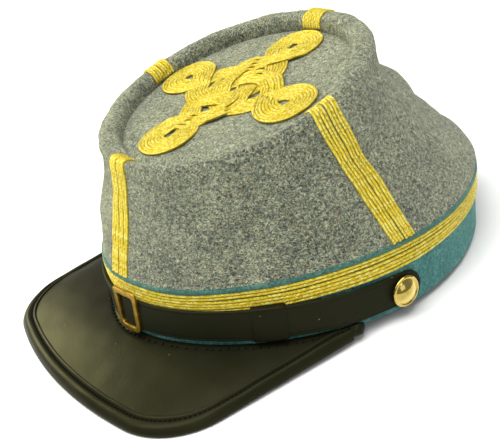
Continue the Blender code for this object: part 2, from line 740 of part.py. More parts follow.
def add_peak_binding():
    """The folded strip: a C section round the plate's edge, with a fuller roll
    over the edge than on its inner part."""
    n = PEAK_STATIONS
    width = peak_width(n)
    depth = np.minimum(BINDING_DEPTH, width - BINDING_CLEAR)
    inside = PEAK_THICK / 2 + GAP
    outside = inside + BINDING_LAYER
    section = (
        (depth, inside),
        (depth, outside),
        (BINDING_CREST, outside + BINDING_CREST_RISE),
        (0.0, outside * BINDING_ROUND),
        (-BINDING_OUT, 0.0),
        (0.0, -outside * BINDING_ROUND),
        (BINDING_CREST, -outside),
        (depth, -outside),
        (depth, -inside),
        (BINDING_LAYER, -inside),
        (BINDING_LAYER, inside),
    )
    corners = [peak_point(n, 1 - back_mm / width, rise) for back_mm, rise in section]
    add_object("peak_binding", *loft(np.stack(corners, 1), False), "black leather")


def add_binding_ends():
    """Short wrapped ends just behind the peak's tips, against the band."""
    tip = math.asin(PEAK_TIP_Y / FOOT_HALF_LENGTH)
    per_mm = turn_per_mm(tip, 0.0)
    along = np.array([station.along for station in BINDING_END_TAPER])
    size = np.array([station.size for station in BINDING_END_TAPER])
    left = tip + (BINDING_END_GAP + along * BINDING_END_LENGTH) * per_mm
    for name, around in (("left", left), ("right", -math.pi - left)):
        rows = []
        for corner in BINDING_END_SECTION:
            height = BINDING_END_Z + corner.up_mm * size
            rows.append(wall(around, height, GAP + corner.out_mm * size))
        add_object(f"{name}_binding_end", *loft(np.stack(rows, 1), False), "black leather")


def corners_of(thing):
    """The mesh corners of an object, in its own frame."""
    return np.array([corner.co for corner in thing.data.vertices])


def rest_tilt():
    """Tilt about the band's back foot that brings the lowest point of the peak's
    binding level with it."""
    corners = corners_of(bpy.data.objects["peak_binding"]) / MM
    return float(np.arctan2(-corners[:, 2], FOOT_HALF_LENGTH - corners[:, 1]).max())


def stand_on_ground(empty):
    """Tip the empty until peak and band meet the ground, then move it so that
    the origin is under the middle of the box."""
    empty.rotation_euler = (-rest_tilt(), 0.0, 0.0)
    bpy.context.view_layer.update()
    low, high = np.full(3, np.inf), np.full(3, -np.inf)
    for thing in bpy.data.objects:
        if thing.type != "MESH" or thing.hide_render:
            continue
        matrix = np.array(thing.matrix_world)
        corners = corners_of(thing) @ matrix[:3, :3].T + matrix[:3, 3]
        low, high = np.minimum(low, corners.min(0)), np.maximum(high, corners.max(0))
    middle = (low + high) / 2
    empty.location = (-middle[0], -middle[1], -low[2])
    bpy.context.view_layer.update()


def main():
    """Clear the scene and build the cap."""
    for thing in list(bpy.data.objects):
        bpy.data.objects.remove(thing, do_unlink=True)
    empty = bpy.data.objects.new(REST_EMPTY, None)
    bpy.context.collection.objects.link(empty)
    add_band()
    add_welt()
    add_band_braid()
    add_crown_side()
    add_crown_top()
    add_braids()
    add_top_knot()
    add_chin_strap()
    add_strap_buckle()
    add_strap_keeper()
    add_buttons()
    add_peak()
    add_peak_binding()
    add_binding_ends()
    stand_on_ground(empty)


main()
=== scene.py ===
import math
from math import pi, radians

import bpy
import numpy as np
from mathutils import Matrix


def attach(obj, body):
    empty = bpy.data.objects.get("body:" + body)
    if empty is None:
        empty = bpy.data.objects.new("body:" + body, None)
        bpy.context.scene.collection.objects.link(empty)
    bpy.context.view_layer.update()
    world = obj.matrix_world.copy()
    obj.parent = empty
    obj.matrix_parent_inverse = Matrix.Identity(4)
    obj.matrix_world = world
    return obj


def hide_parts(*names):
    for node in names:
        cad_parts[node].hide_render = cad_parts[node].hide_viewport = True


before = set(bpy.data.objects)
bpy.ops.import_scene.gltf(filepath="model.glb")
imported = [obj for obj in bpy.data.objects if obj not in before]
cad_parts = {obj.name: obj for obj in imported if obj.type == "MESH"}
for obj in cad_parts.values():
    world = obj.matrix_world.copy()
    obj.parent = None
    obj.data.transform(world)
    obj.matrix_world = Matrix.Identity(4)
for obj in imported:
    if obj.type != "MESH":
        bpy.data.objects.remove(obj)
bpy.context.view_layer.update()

# The cap's own frame is in millimetres: +Z up from the band's lower edge, +X to the
# wearer's left, +Y to the back. At rest the cap is tipped back and moved to the ground.
MM = 0.001
CAP_TILT = radians(1.953)
CAP_BACK_MM = 14.804
CAP_UP_MM = 3.476
SHARP_DEG = 50  # edges that turn more than this are drawn sharp

# Band and welt: an oval that narrows upward.
OVAL_POWER = 1.9
HALF_LENGTH = 102.0
FOOT_HALF_WIDTH = 87.2
WELT_HALF_WIDTH = 83.8
WELT_SHIFT_BACK = 3.6
WELT_TOP = 30.6
WELT_HEIGHT = 3.3
WELT_LIP = 2.5
WELT_PROUD = 1.3
WELT_FOOT = WELT_TOP - WELT_HEIGHT
CLOTH = 2.6
TUCK_DEG = -112  # where the band's foot is drawn in
TUCK_HALF_DEG = 34
TUCK_IN = 4.0
TUCK_FADE = (10.0, 27.0)  # heights between which it ends
SEAM_BELLS = (  # around_deg, half_deg, up_mm: how the welt's seam wanders
    (-64, 22, -1.0),
    (-10, 40, 1.1),
)
SEAM_FADE = (16.0, 26.0)  # heights between which that wandering begins
RING_COUNT = 480
FELT_RIPPLES = ((0.10, 30, 11), (0.05, 9, 12))  # height_mm, length_mm, seed

# Rolled rim and sunk disc.
RIM_HALF_WIDTH = 63.5
RIM_HALF_LENGTH = 62.6
RIM_CENTRE = np.array([0.0, -20.6, 92.1])
RIM_TILT = radians(13.8)
RIM_AXES = np.array([  # across, toward the back, and up out of the disc
    (1.0, 0.0, 0.0),
    (0.0, math.cos(RIM_TILT), math.sin(RIM_TILT)),
    (0.0, -math.sin(RIM_TILT), math.cos(RIM_TILT)),
])
ROLL_HALF_WIDTH = 5.6
ROLL_HALF_HEIGHT = 4.2
ROLL_START = radians(-40)
ROLL_END = radians(172)
PRESSED_ROLL = (  # turn_deg, out_mm, up_mm: its section where it is pressed down
    (-40, 4.9, -2.7), (0, 4.3, 0.0), (30, 3.5, 2.1), (50, 2.7, 3.05), (68, 1.6, 3.3),
    (90, -0.3, 1.8), (120, -2.8, -0.35), (150, -4.85, -1.9), (180, -5.6, -2.4),
)
PRESSED_FROM_DEG = (-128, -96)  # places between which the pressing eases in
PRESSED_TO_DEG = (24, 4)  # and out
DISC_DROP = 3.2
RECESS_CLEAR = 0.05  # between the recess and the disc's edge
RECESS_BELOW = 0.4  # how far the recess runs on past its face
DISC_REACH = 0.955  # share of the disc that lies flat, its edge turned down
DISC_EDGE_DROP = 0.5
DISC_RIPPLES = ((0.12, 21, 5), (0.05, 6, 6))
SIDE_HOLLOW = 1.0
CROWN_FOOT_OUT = 0.7
CROWN_FOOT_DOWN = 1.2  # the wool's foot, below the top of the welt's seam
CROWN_RIPPLES = ((0.30, 26, 1), (0.16, 11, 2), (0.07, 5, 3))

# Rows and columns of the crown's skin.
SIDE_COUNT = 96
ROLL_COUNT = 40
RECESS_COUNT = 5
AROUND_COUNT = 440
SOFTENING = 25  # passes that smooth the turn from side to roll
RIPPLE_ROWS = 12  # rows above the welt over which the ripples begin
RIPPLE_FROM = (0.0, 0.0, 20.0)  # point that they push away from

# Folds of the crown side: around_deg, up (0 welt to 1 rim), half_deg, half_up, out_mm.
FOLDS = (
    (73.8, 0.73, 52.7, 0.14, -8.6),
    (78.5, 0.68, 39.5, 0.13, 4.0),
    (59.8, 0.49, 39.2, 0.13, -3.5),
    (93.5, 0.06, 53.1, 0.21, 5.7),
    (122, 0.60, 36, 0.16, 2.5),
    (62.8, 0.89, 34.2, 0.12, -6.1),
    (8, 0.66, 20, 0.13, -2.0),
    (-38, 0.52, 34, 0.26, 1.2),
    (-124, 0.38, 50, 0.38, 2.2),
)

# Soutache: strands of two ribs.
STRAND_RISE = 1.15
RIB_EDGE = 0.42  # height of a strand's edges, as a share of its rise
RIB_GROOVE = 0.48  # and of the groove along its middle
BAND_STRANDS = 3
BAND_STRAND_PITCH = 2.75
BAND_STRAND_GAP = 0.02
BAND_STRAND_OFF = 0.05  # its back from the felt
BAND_STRAND_RISE = 1.2075
BAND_SWAY = (0.09, 45)  # height_mm, length_mm of its wandering
BAND_SLIT = 0.5  # below the first strand, widest at this place
BAND_SLIT_DEG = -20
BRAID_STRANDS = 4
BRAID_STRAND_PITCH = 2.95
BRAID_STRAND_GAP = 0.04
BRAID_SWAY = (0.10, 32)
BRAID_SAMPLES = 300
BRAID_SINK = 0.08  # into the wool
BRAID_END = 1.6  # length of its upper end that sinks further, by this
BRAID_END_SINK = 1.3
BRAIDS = (  # name, foot_deg, top_deg, rows left off at its top, slit_mm between strands
    ("front", -87.5, -91.0, 13, (0.05, 0.62, 0.12)),
    ("left", -3.0, 0.5, 13, (0.12, 0.5, 0.28)),
    ("back", 90.0, 95.0, 0, (0.05, 0.4, 0.1)),
    ("right", 180.0, 184.0, 0, (0.05, 0.3, 0.1)),
)

# Knot: one eighth of its centre line, as across_mm, out_mm, from a lobe's tip to the
# middle of the bend round the centre.
KNOT_EIGHTH = (
    (0.0, 47.7), (5.9, 45.8), (8.4, 40.6), (6.6, 33.6), (0.0, 27.4), (-6.9, 21.9),
    (-11.2, 15.6), (-12.1, 9.2), (-10.2, 2.4), (-5.2, -5.2),
)
KNOT_CENTRE = (-1.85, 1.23)
KNOT_WIDTH = 11.7
KNOT_LOBE_WIDTH = 12.8
KNOT_LOBE_FROM = (30.0, 38.0)  # distances from the centre between which it widens
KNOT_OVER_RISE = 1.05
KNOT_OVERLAP = 0.06  # of a strand over its quarter of the width
KNOT_SAMPLES = 1200
KNOT_WAVES = np.array([9, 14, 23, 31])  # of its sway, and backwards of its rise
KNOT_SWAY = 0.02
KNOT_SWAY_UP = 0.04
KNOT_STEP_HALF = 1.2  # a strand goes up or down within this many millimetres of a ray
KNOT_LOBE_LOW = (33.0, 38.0, 0.3)  # distances between which it eases to this lift
# Turns, in degrees from the bend, at which a band goes over (1) or under (-1).
KNOT_CHANGES = ((-135, -1), (-113, 1), (90, 1), (113, -1), (135, 1))
# Whether the inner strands of each arc stay over at its first diagonal. Those that do
# not dip between two rays. They already ease down between the first two of three others,
# and hold to the third.
KNOT_INNER_OVER = np.array([1, 1, 1, 0])
KNOT_DIP_DEG = (-90, -62)
KNOT_EARLY_DEG = (-104, -96, -76)
KNOT_ARC_END = (0.462, 0.492)  # shares of an arc between which it goes down to its lobe

# Chin strap and what is on it.
STRAP_WIDTH = 14.0
STRAP_THICK = 1.6
STRAP_END = radians(1.0)
STRAP_FRONT_HEIGHT = 14.3
STRAP_END_HEIGHT = 9.0
STRAP_CLOSE = 0.15  # its inner face from the band at its ends
STRAP_STAND_OFF = 1.7  # and elsewhere, eased between these angles from them
STRAP_EASE = (radians(8), radians(22))
STRAP_PER_RADIAN = 92.0
STRAP_SWAY = (0.12, 70)
STRAP_SWELL = 0.10  # of its middle, as a share of its thickness
STRAP_CREASE = (0.16, 0.83, 0.025)  # depth share, and place and width as shares across
KEEPER_DEG = -40.3
KEEPER_HALF_TURN = 13.8 / 2 / 92.3
KEEPER_OUTSIDE = (0.65, -1.4, 1.0, 0.9)  # beside, below and above the strap, radius
KEEPER_INSIDE = (0.10, -0.2, 0.25, 0.5)
KEEPER_EDGE = 0.35  # how far its edges are rounded off
BUCKLE_DEG = -82.6
BUCKLE_HEIGHT_ON_WALL = 15.7
BUCKLE_WIDTH = 15.6
BUCKLE_HEIGHT = 20.3
BUCKLE_BAR = 3.0
BUCKLE_OPENING_IN = 2.6  # its opening, in from its outer sides
BUCKLE_OPENING_ALONG = 0.6  # and moved along the strap
BUCKLE_CORNER = 2.2
BUCKLE_THICK = 1.4
BUCKLE_EDGE = 0.38
BUCKLE_CLEAR = 0.22  # between it and the strap
BUCKLE_LEAN = 0.04  # out per millimetre up
BUTTON_DEG = -5.4
BUTTON_HEIGHT_ON_WALL = 9.1
BUTTON_LIFT = 2.35
BUTTON_SCALE = 0.955  # of the profile's radii
BUTTON_SIDES = 72
BUTTON_PROFILE = np.array([  # radius_mm, rise_mm: back, rim, groove and dome
    (0.0, 0.0), (5.5, 0.0), (6.5, 0.12), (7.0, 0.5), (7.2, 1.0), (7.15, 1.5), (6.9, 1.85),
    (6.55, 1.98), (6.2, 1.9), (5.95, 1.68), (5.8, 1.62), (5.65, 1.72), (5.2, 2.15), (4.5, 2.68),
    (3.7, 3.15), (2.8, 3.52), (1.85, 3.80), (0.9, 3.96), (0.0, 4.0),
])

# Peak and its binding.
PEAK_THICK = 2.2
PEAK_FRONT_Y = -140.4
PEAK_BOW = 14.7
PEAK_HALF_WIDTH = 81.9
PEAK_FRONT_HALF = 54.0
PEAK_CORNER_RADIUS = 34.6
PEAK_CORNER_END = radians(-5)
PEAK_TIP_Y = -36.6
PEAK_TIP_TURN = math.asin(PEAK_TIP_Y / HALF_LENGTH)
PEAK_TIP_OUT = 5.0
PEAK_TIP_Z = -0.6
PEAK_EDGE_Z = -6.0
PEAK_CORNER_DROP = 1.0
PEAK_SEAM_Z = 2.2
PEAK_SEAM_TIP_Z = 0.7
PEAK_SWELL = 1.6
PEAK_SWELL_WIDTH = 40.0
PEAK_SAMPLES = 420
PEAK_RIPPLES = ((0.10, 34, 15), (0.04, 12, 16))
STITCH_LINE = 3.2  # the seam's stitches, from the band
STITCH_PULL = 0.35
BINDING_DEPTH = 7.0
GROOVE_BACK = 4.7  # middle of the stitched groove, back from the edge
GROOVE_STITCH_PITCH = 2.1
# An inner flat lip, a narrow ridge, the stitched groove, and a full roll round the
# plate's edge to the underside.
BINDING_SECTION = np.array([  # back_mm, rise_mm
    (7.0, 1.0), (6.98, 1.55), (6.75, 1.78), (6.3, 1.92), (5.8, 1.88), (5.4, 1.68), (5.1, 1.36),
    (4.9, 1.14), (4.7, 1.08), (4.5, 1.14), (4.25, 1.38), (3.9, 1.72), (3.4, 2.02), (2.8, 2.2),
    (2.1, 2.24), (1.4, 2.1), (0.75, 1.78), (0.2, 1.32), (-0.3, 0.75), (-0.68, 0.15),
    (-0.8, -0.4), (-0.68, -1.05), (-0.3, -1.6), (0.3, -2.05), (1.2, -2.3), (2.4, -2.38),
    (4.2, -2.3), (6.6, -2.2), (6.9, -1.15),
])
END_LENGTH = 6.6  # of the wrapped ends behind the peak's tips
END_START = -0.6
END_PER_RADIAN = 91.0
END_MIDDLE = (0.5, 0.35)  # height, and distance out of their inner side
END_HALF = (2.5, 2.3)  # half height and half thickness
END_RIPPLES = ((0.22, 4.2, 31), (0.10, 1.9, 32))


# ---- meshes

def unit(vectors):
    """Vectors scaled to length 1."""
    return vectors / np.linalg.norm(vectors, axis=-1, keepdims=True)


def path_length(points):
    """Distance along a path of points, from 0 at its first."""
    return np.append(0.0, np.cumsum(np.linalg.norm(np.diff(points, axis=0), axis=-1)))


def evenly(path, count, *columns):
    """Even distances along a path, and columns of values at its points read off there."""
    length = path_length(path)
    even = np.linspace(0, length[-1], count)
    return even, *(np.interp(even, length, column) for column in columns)


def chain(*parts):
    """Arrays, lists or tuples one after another, as one array."""
    return np.concatenate(parts)


def full_turn(count):
    """Angles at even steps of a full turn."""
    return np.linspace(0, 2 * pi, count, endpoint=False)


def eased(value, low, high):
    """0 at low, 1 at high, and the cubic 3v^2 - 2v^3 of the way between."""
    value = np.clip((value - low) / (high - low), 0, 1)
    return value * value * (3 - 2 * value)


def bell(distance):
    """1 at 0, 0 from 1 on, and half a cosine wave between."""
    return 0.5 + 0.5 * np.cos(pi * np.clip(np.abs(distance), 0, 1))


def degrees_from(around, centre_deg):
    """Degrees from a place on the oval to an angle round it, the short way."""
    return np.degrees(np.angle(np.exp(1j * (around - radians(centre_deg)))))


def place(points):
    """Cap millimetres to world metres: a turn about X by the cap's tilt, then a move."""
    cosine, sine = math.cos(CAP_TILT), math.sin(CAP_TILT)
    x, y, z = np.moveaxis(points, -1, 0)
    y, z = cosine * y + sine * z + CAP_BACK_MM, cosine * z - sine * y + CAP_UP_MM
    return np.stack([x, y, z], -1) * MM


def looped(grid):
    """A grid with its first row and column again at its end."""
    return np.pad(grid, ((0, 1), (0, 1), (0, 0)), mode="wrap")


def surface(points, closed, uv=None):
    """Quads over a grid of points[row, column] that closes across its columns. Either its
    rows close too, or each end ring is closed by strips between its opposite corners. uv
    has one row or column more where the grid closes. A skin whose signed volume, the sum
    of its quads' triple products, is negative is turned round."""
    rows, cols = points.shape[:2]
    r, c = np.divmod(np.arange((rows if closed else rows - 1) * cols)[:, None], cols)
    r, c = r + [0, 1, 1, 0], c + [0, 0, 1, 1]
    quads = (r % rows) * cols + c % cols
    coords = np.zeros(quads.shape + (2,)) if uv is None else uv[r, c]
    if not closed:
        k = np.arange(cols // 2 - 1)
        first = np.stack([k, k + 1, cols - 2 - k, cols - 1 - k], 1)
        quads = chain(quads, first, first[:, ::-1] + (rows - 1) * cols)
        coords = chain(coords, np.zeros((2 * len(k), 4, 2)))
    flat = points.reshape(-1, 3)
    a, b, d, e = flat[quads.T]
    if (np.cross(b - a, d - a) * a).sum() + (np.cross(d - a, e - a) * a).sum() < 0:
        quads, coords = quads[:, ::-1], coords[:, ::-1]
    return flat, quads, coords


def grid_uv(points):
    """UV of a grid that closes both ways, in millimetres: the mean length of its steps
    along the rows, and of those from row to row, added up."""
    steps = (np.linalg.norm(np.diff(looped(points), axis=axis), axis=-1).mean(1 - axis)
             for axis in (1, 0))
    u, v = (np.append(0.0, np.cumsum(step)) for step in steps)
    return np.stack(np.broadcast_arrays(u[None], v[:, None]), -1)


def joined(surfaces):
    """Several surfaces as one, their corner numbers shifted past those before them."""
    points, quads, coords = zip(*surfaces)
    shifts = np.cumsum([0] + [len(group) for group in points])
    quads = [group + shift for group, shift in zip(quads, shifts)]
    return np.concatenate(points), np.concatenate(quads), np.concatenate(coords)


def add_piece(name, shape, finish, slot, *nodes):
    """A mesh object at the origin from a surface in cap millimetres, riding on the body."""
    points, quads, coords = shape
    mesh = bpy.data.meshes.new(name)
    mesh.vertices.add(len(points))
    mesh.vertices.foreach_set("co", place(points).ravel())
    mesh.loops.add(quads.size)
    mesh.loops.foreach_set("vertex_index", quads.ravel())
    mesh.polygons.add(len(quads))
    mesh.polygons.foreach_set("loop_start", np.arange(len(quads)) * 4)
    mesh.uv_layers.new(name="UVMap").data.foreach_set("uv", coords.ravel())
    mesh.update(calc_edges=True)
    mesh.shade_smooth()
    mesh.set_sharp_from_angle(angle=radians(SHARP_DEG))
    mesh.materials.append(finish)
    piece = bpy.data.objects.new(name, mesh)
    bpy.context.collection.objects.link(piece)
    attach(piece, "root")
    if nodes:
        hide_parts(*nodes)


def ripple(points, *layers):
    """Smooth unevenness in millimetres. Each layer, as height_mm, length_mm and seed, is
    a mean of seven plane waves of one length with seeded directions and phases."""
    total = np.zeros(points.shape[:-1])
    for height_mm, length_mm, seed in layers:
        chance = np.random.default_rng(seed)
        heading = unit(chance.normal(size=(7, 3))) * 2 * pi / length_mm
        phase = chance.uniform(0, 2 * pi, 7)
        total += height_mm / math.sqrt(7) * np.sin(points @ heading.T + phase).sum(-1)
    return total


def drift(along, height_mm, length_mm, seed):
    """Unevenness of a path in millimetres: a mean of five seeded sines of the distance
    along it."""
    chance = np.random.default_rng(seed)
    rate = 2 * pi / length_mm * chance.uniform(0.5, 1.7, 5)
    phase = chance.uniform(0, 2 * pi, 5)
    return height_mm / math.sqrt(5) * np.sin(along[..., None] * rate + phase).sum(-1)


# ---- forms of the cap

def signed_power(value, power):
    """A power that keeps the sign of its base."""
    return np.sign(value) * np.abs(value) ** power


def wall(around, height, out=0.0):
    """Point on the band's outer face at an angle round it and a height up it: an oval
    whose half width runs straight from foot to welt. It is moved outward, drawn in by the
    tuck's bell, which eases out up the band, and lifted by the seam's bells, which ease
    in up it."""
    around, height, out = np.broadcast_arrays(around, height, out)
    tuck = bell(degrees_from(around, TUCK_DEG) / TUCK_HALF_DEG) * (1 - eased(height, *TUCK_FADE))
    rise = sum(up_mm * bell(degrees_from(around, centre_deg) / half_deg)
               for centre_deg, half_deg, up_mm in SEAM_BELLS)
    up, out = height / WELT_TOP, out - TUCK_IN * tuck
    half_width = FOOT_HALF_WIDTH + (WELT_HALF_WIDTH - FOOT_HALF_WIDTH) * up + out
    x = half_width * signed_power(np.cos(around), 2 / OVAL_POWER)
    y = WELT_SHIFT_BACK * up + (HALF_LENGTH + out) * signed_power(np.sin(around), 2 / OVAL_POWER)
    return np.stack([x, y, height + rise * eased(height, *SEAM_FADE)], -1)


def wall_angles(count, start=0.0, stop=2 * pi, height=0.0):
    """Even distances along the oval and their angles, read off a fine oval."""
    fine = np.linspace(start, stop, 4001)
    return evenly(wall(fine, height), count, fine)


def on_disc(across_mm, back_mm, up_mm):
    """Point by its place in the disc's plane, and up from the roll's centre line."""
    return RIM_CENTRE + np.stack(np.broadcast_arrays(across_mm, back_mm, up_mm), -1) @ RIM_AXES


def rim_point(around, outward, upward):
    """Point beside the roll's centre line, outward in the disc's plane and up from it."""
    return on_disc((RIM_HALF_WIDTH + outward) * np.cos(around),
                   (RIM_HALF_LENGTH + outward) * np.sin(around), upward)


def roll(around, turn):
    """Point on the roll's skin. Its section is an ellipse, 0 outward and 90 degrees on
    top, mixed with the pressed one by a share that is 1 round the left front."""
    around, turn = np.broadcast_arrays(around, turn)
    where_deg = degrees_from(around, 0)
    share = eased(where_deg, *PRESSED_FROM_DEG) * eased(where_deg, *PRESSED_TO_DEG)
    turn_deg, *section = zip(*PRESSED_ROLL)
    outward, upward = (np.interp(np.degrees(turn), turn_deg, row) * share for row in section)
    return rim_point(around, ROLL_HALF_WIDTH * np.cos(turn) * (1 - share) + outward,
                     ROLL_HALF_HEIGHT * np.sin(turn) * (1 - share) + upward)


def side(around, up, inside=0.0):
    """Point on the crown side: a straight line from welt to roll, drawn in by a half
    sine wave, with the folds added, each a cosine bell round the oval times one up the
    side, and moved inward by a wall."""
    around, up, inside = np.broadcast_arrays(around, up, inside)
    foot = wall(around, WELT_TOP - CROWN_FOOT_DOWN, CROWN_FOOT_OUT)
    folds = sum(out_mm * bell(degrees_from(around, centre_deg) / half_deg)
                * bell((up - centre_up) / half_up)
                for centre_deg, centre_up, half_deg, half_up, out_mm in FOLDS)
    out = folds - SIDE_HOLLOW * np.sin(pi * up) - inside
    rise = 0.5 * np.clip(4 * up, 0, 1)
    heading = unit(np.stack([np.cos(around), np.sin(around), rise], -1))
    return foot + (roll(around, ROLL_START) - foot) * up[..., None] + out[..., None] * heading


def crown_outside():
    """The crown's outer skin, points[row, angle]: up the side, over the roll and down to
    the disc. Its rows are smoothed by repeated quarter, half, quarter means up each
    column, which keep the first and last. Small seeded ripples lift it off the smooth
    form, fading at the welt."""
    around = full_turn(AROUND_COUNT)
    up = np.linspace(0, 1, SIDE_COUNT)[:-1, None]
    turn = np.linspace(ROLL_START, ROLL_END, ROLL_COUNT)[:, None]
    share = np.linspace(0, 1, RECESS_COUNT + 1)[1:, None, None]
    brim = roll(around, turn[-1])
    hem = rim_point(around, RECESS_CLEAR - ROLL_HALF_WIDTH, -DISC_DROP - RECESS_BELOW)
    rows = chain(side(around, up), roll(around, turn), brim + (hem - brim) * share)
    for _ in range(SOFTENING):
        rows[1:-1] = (rows[:-2] + 2 * rows[1:-1] + rows[2:]) / 4
    fade = np.clip(np.arange(len(rows)) / RIPPLE_ROWS, 0, 1)[:, None]
    lift = ripple(rows, *CROWN_RIPPLES) * fade
    return rows + lift[..., None] * unit(rows - RIPPLE_FROM)


crown_rows = crown_outside()


def on_crown(around, row):
    """Point of the crown's skin at any angle and row, between its four grid neighbours."""
    column = np.mod(around / (2 * pi), 1) * AROUND_COUNT
    here = np.floor(column).astype(int)
    low = np.clip(np.floor(row).astype(int), 0, len(crown_rows) - 2)
    s, t = (column - here)[..., None], (row - low)[..., None]
    below, above = (crown_rows[at, here % AROUND_COUNT] * (1 - s)
                    + crown_rows[at, (here + 1) % AROUND_COUNT] * s for at in (low, low + 1))
    return below * (1 - t) + above * t


# ---- shader groups

def fill(tree, node, inputs):
    """Sets a node's inputs, or links those whose value is another node's result."""
    for key, value in inputs.items():
        if isinstance(value, bpy.types.NodeSocket):
            tree.links.new(value, node.inputs[key])
        else:
            node.inputs[key].default_value = value


def add_node(tree, kind, inputs, **settings):
    """The results of a new shader node, its properties set and its inputs filled."""
    made = tree.nodes.new("ShaderNode" + kind)
    for key, value in settings.items():
        setattr(made, key, value)
    fill(tree, made, inputs)
    return made.outputs


def calc(tree, operation, *values):
    """The result of one Math node."""
    return add_node(tree, "Math", dict(enumerate(values)), operation=operation)[0]


def scaled(tree, value, factor, base):
    """A value times a factor, added to a base."""
    return calc(tree, "MULTIPLY_ADD", value, factor, base)


def soft_step(tree, value, low, high):
    """0 at low and 1 at high, eased between."""
    return add_node(tree, "MapRange", {0: value, 1: low, 2: high},
                    interpolation_type="SMOOTHSTEP")[0]


def ramp(tree, value, *stops):
    """A colour that runs straight through the given (position, colour) stops."""
    colour = add_node(tree, "ValToRGB", {"Fac": value})[0]
    elements = colour.node.color_ramp.elements
    for _ in stops[2:]:
        elements.new(0.5)
    for element, (position, tint) in zip(elements, stops):
        element.position = position
        element.color = (*tint, 1.0)
    return colour


def blend(tree, share, first, second, mode="MIX"):
    """Colour mixed by a share."""
    return add_node(tree, "Mix", {0: share, 6: first, 7: second}, data_type="RGBA",
                    blend_type=mode)[2]


def noise(tree, where, scale, detail, roughness=0.5, distortion=0.0, dimensions="3D"):
    """Cloudy noise: its value, then its colour."""
    return add_node(tree, "TexNoise", {"Vector": where, "Scale": scale, "Detail": detail,
                                       "Roughness": roughness, "Distortion": distortion},
                    noise_dimensions=dimensions)


def cells(tree, where, scale, dimensions="3D"):
    """Cells round scattered points: Distance to the nearest and its chance Color."""
    return add_node(tree, "TexVoronoi", {"Vector": where, "Scale": scale},
                    voronoi_dimensions=dimensions)


FLOAT, VECTOR = "NodeSocketFloat", "NodeSocketVector"


def new_group(name, vectors, sizes, outputs):
    """An empty shader group with vector inputs, (name, millimetres) inputs and outputs
    of one value each. Gives it and its inputs."""
    group = bpy.data.node_groups.new(name, "ShaderNodeTree")
    for label in vectors:
        group.interface.new_socket(label, in_out="INPUT", socket_type=VECTOR)
    for label, value in sizes:
        socket = group.interface.new_socket(label, in_out="INPUT", socket_type=FLOAT)
        socket.default_value = value
    for label in outputs:
        group.interface.new_socket(label, in_out="OUTPUT", socket_type=FLOAT)
    return group, group.nodes.new("NodeGroupInput").outputs


def close_group(group, results):
    """The group, its results linked to its outputs."""
    fill(group, group.nodes.new("NodeGroupOutput"), results)
    return group


def make_pile_group():
    """Felted fibres lying every way in the cloth, whose UV is in millimetres. Four cell
    patterns, each turned and then drawn out to a fibre's width and length, make long
    thin cells; at each point the nearest cell's chance colour gives Shade, Hue and Stray,
    and its nearness gives Height. Rounder noises give clumps and slow patches."""
    group, start = new_group("felt_pile", ("UV", "Vector"),
                             (("Width mm", 0.4), ("Length mm", 2.5), ("Clump mm", 1.5)),
                             ("Shade", "Hue", "Stray", "Height", "Clump", "Patch"))
    bend = noise(group, start["UV"], 0.45, 2.0, dimensions="2D")["Color"]
    bent = add_node(group, "VectorMath", {0: bend, 1: (2.4, 2.4, 0.0), 2: start["UV"]},
                    operation="MULTIPLY_ADD")[0]
    size = add_node(group, "CombineXYZ", {0: start["Width mm"], 1: start["Length mm"], 2: 1.0})[0]
    fibres = []
    for turn_deg in (8, 55, 98, 149):
        laid = add_node(group, "Mapping", {"Vector": bent, "Rotation": (0.0, 0.0, radians(turn_deg)),
                                           "Location": (turn_deg, 0.0, 0.0), "Scale": size},
                        vector_type="TEXTURE")[0]
        fibres.append(cells(group, laid, 1.0, "2D"))
    chosen, near = fibres[0]["Color"], fibres[0]["Distance"]
    for cell in fibres[1:]:
        nearer = calc(group, "LESS_THAN", cell["Distance"], near)
        chosen = blend(group, nearer, chosen, cell["Color"])
        near = calc(group, "MINIMUM", near, cell["Distance"])
    parts = add_node(group, "SeparateColor", {0: chosen})
    clump_rate = calc(group, "DIVIDE", 1 / MM, start["Clump mm"])
    return close_group(group, {
        "Shade": parts[0], "Hue": parts[1], "Stray": parts[2],
        "Height": calc(group, "SUBTRACT", 1.0, near),
        "Clump": noise(group, start["Vector"], clump_rate, 3.0, 0.65, 0.8)[0],
        "Patch": noise(group, start["Vector"], 60.0, 3.0, 0.6)[0]})


def make_thread_group():
    """Twisted metal thread on a strand whose UV is in millimetres along it and across
    from its middle. Slant lines that meet at the middle, bent by a loose noise, give a
    sine wave as Height and Thread; whole turns of it hold one chance value each, which
    with the noise gives Glint, painted glints of chance brightness. Rib is 1 on the
    ribs, lower at the middle and 0 past the edges: it masks the painted shade in the
    groove and between the strands."""
    group, start = new_group("twisted_thread", ("UV",), (("Thread mm", 0.7),),
                             ("Height", "Glint", "Thread", "Rib"))
    along, across = add_node(group, "SeparateXYZ", {0: start["UV"]})[:2]
    off = calc(group, "ABSOLUTE", across)
    middle = scaled(group, soft_step(group, off, 0.06, 0.34), 0.66, 0.34)
    loose = noise(group, start["UV"], 1.3, 3.0, 0.7, dimensions="2D")[0]
    bent = scaled(group, loose, 1.6, along)
    phase = calc(group, "DIVIDE", scaled(group, off, 1.1, bent), start["Thread mm"])
    wave = calc(group, "SINE", calc(group, "MULTIPLY", phase, 2 * pi))
    column = calc(group, "FLOOR", calc(group, "MULTIPLY", across, 1.43))
    one_thread = add_node(group, "CombineXYZ", {0: calc(group, "FLOOR", phase), 1: column})[0]
    chance = add_node(group, "TexWhiteNoise", {"Vector": one_thread}, noise_dimensions="2D")[0]
    return close_group(group, {
        "Height": wave,
        # painted glints: one chance brightness per thread turn, with the loose noise
        "Glint": scaled(group, loose, 0.36, scaled(group, chance, 0.56, 0.09)),
        "Thread": scaled(group, wave, 0.5, 0.5),
        # Rib masks the painted shade: 0 in the slits past the edges, low in the groove
        "Rib": calc(group, "MULTIPLY", soft_step(group, off, 1.60, 1.30), middle)})


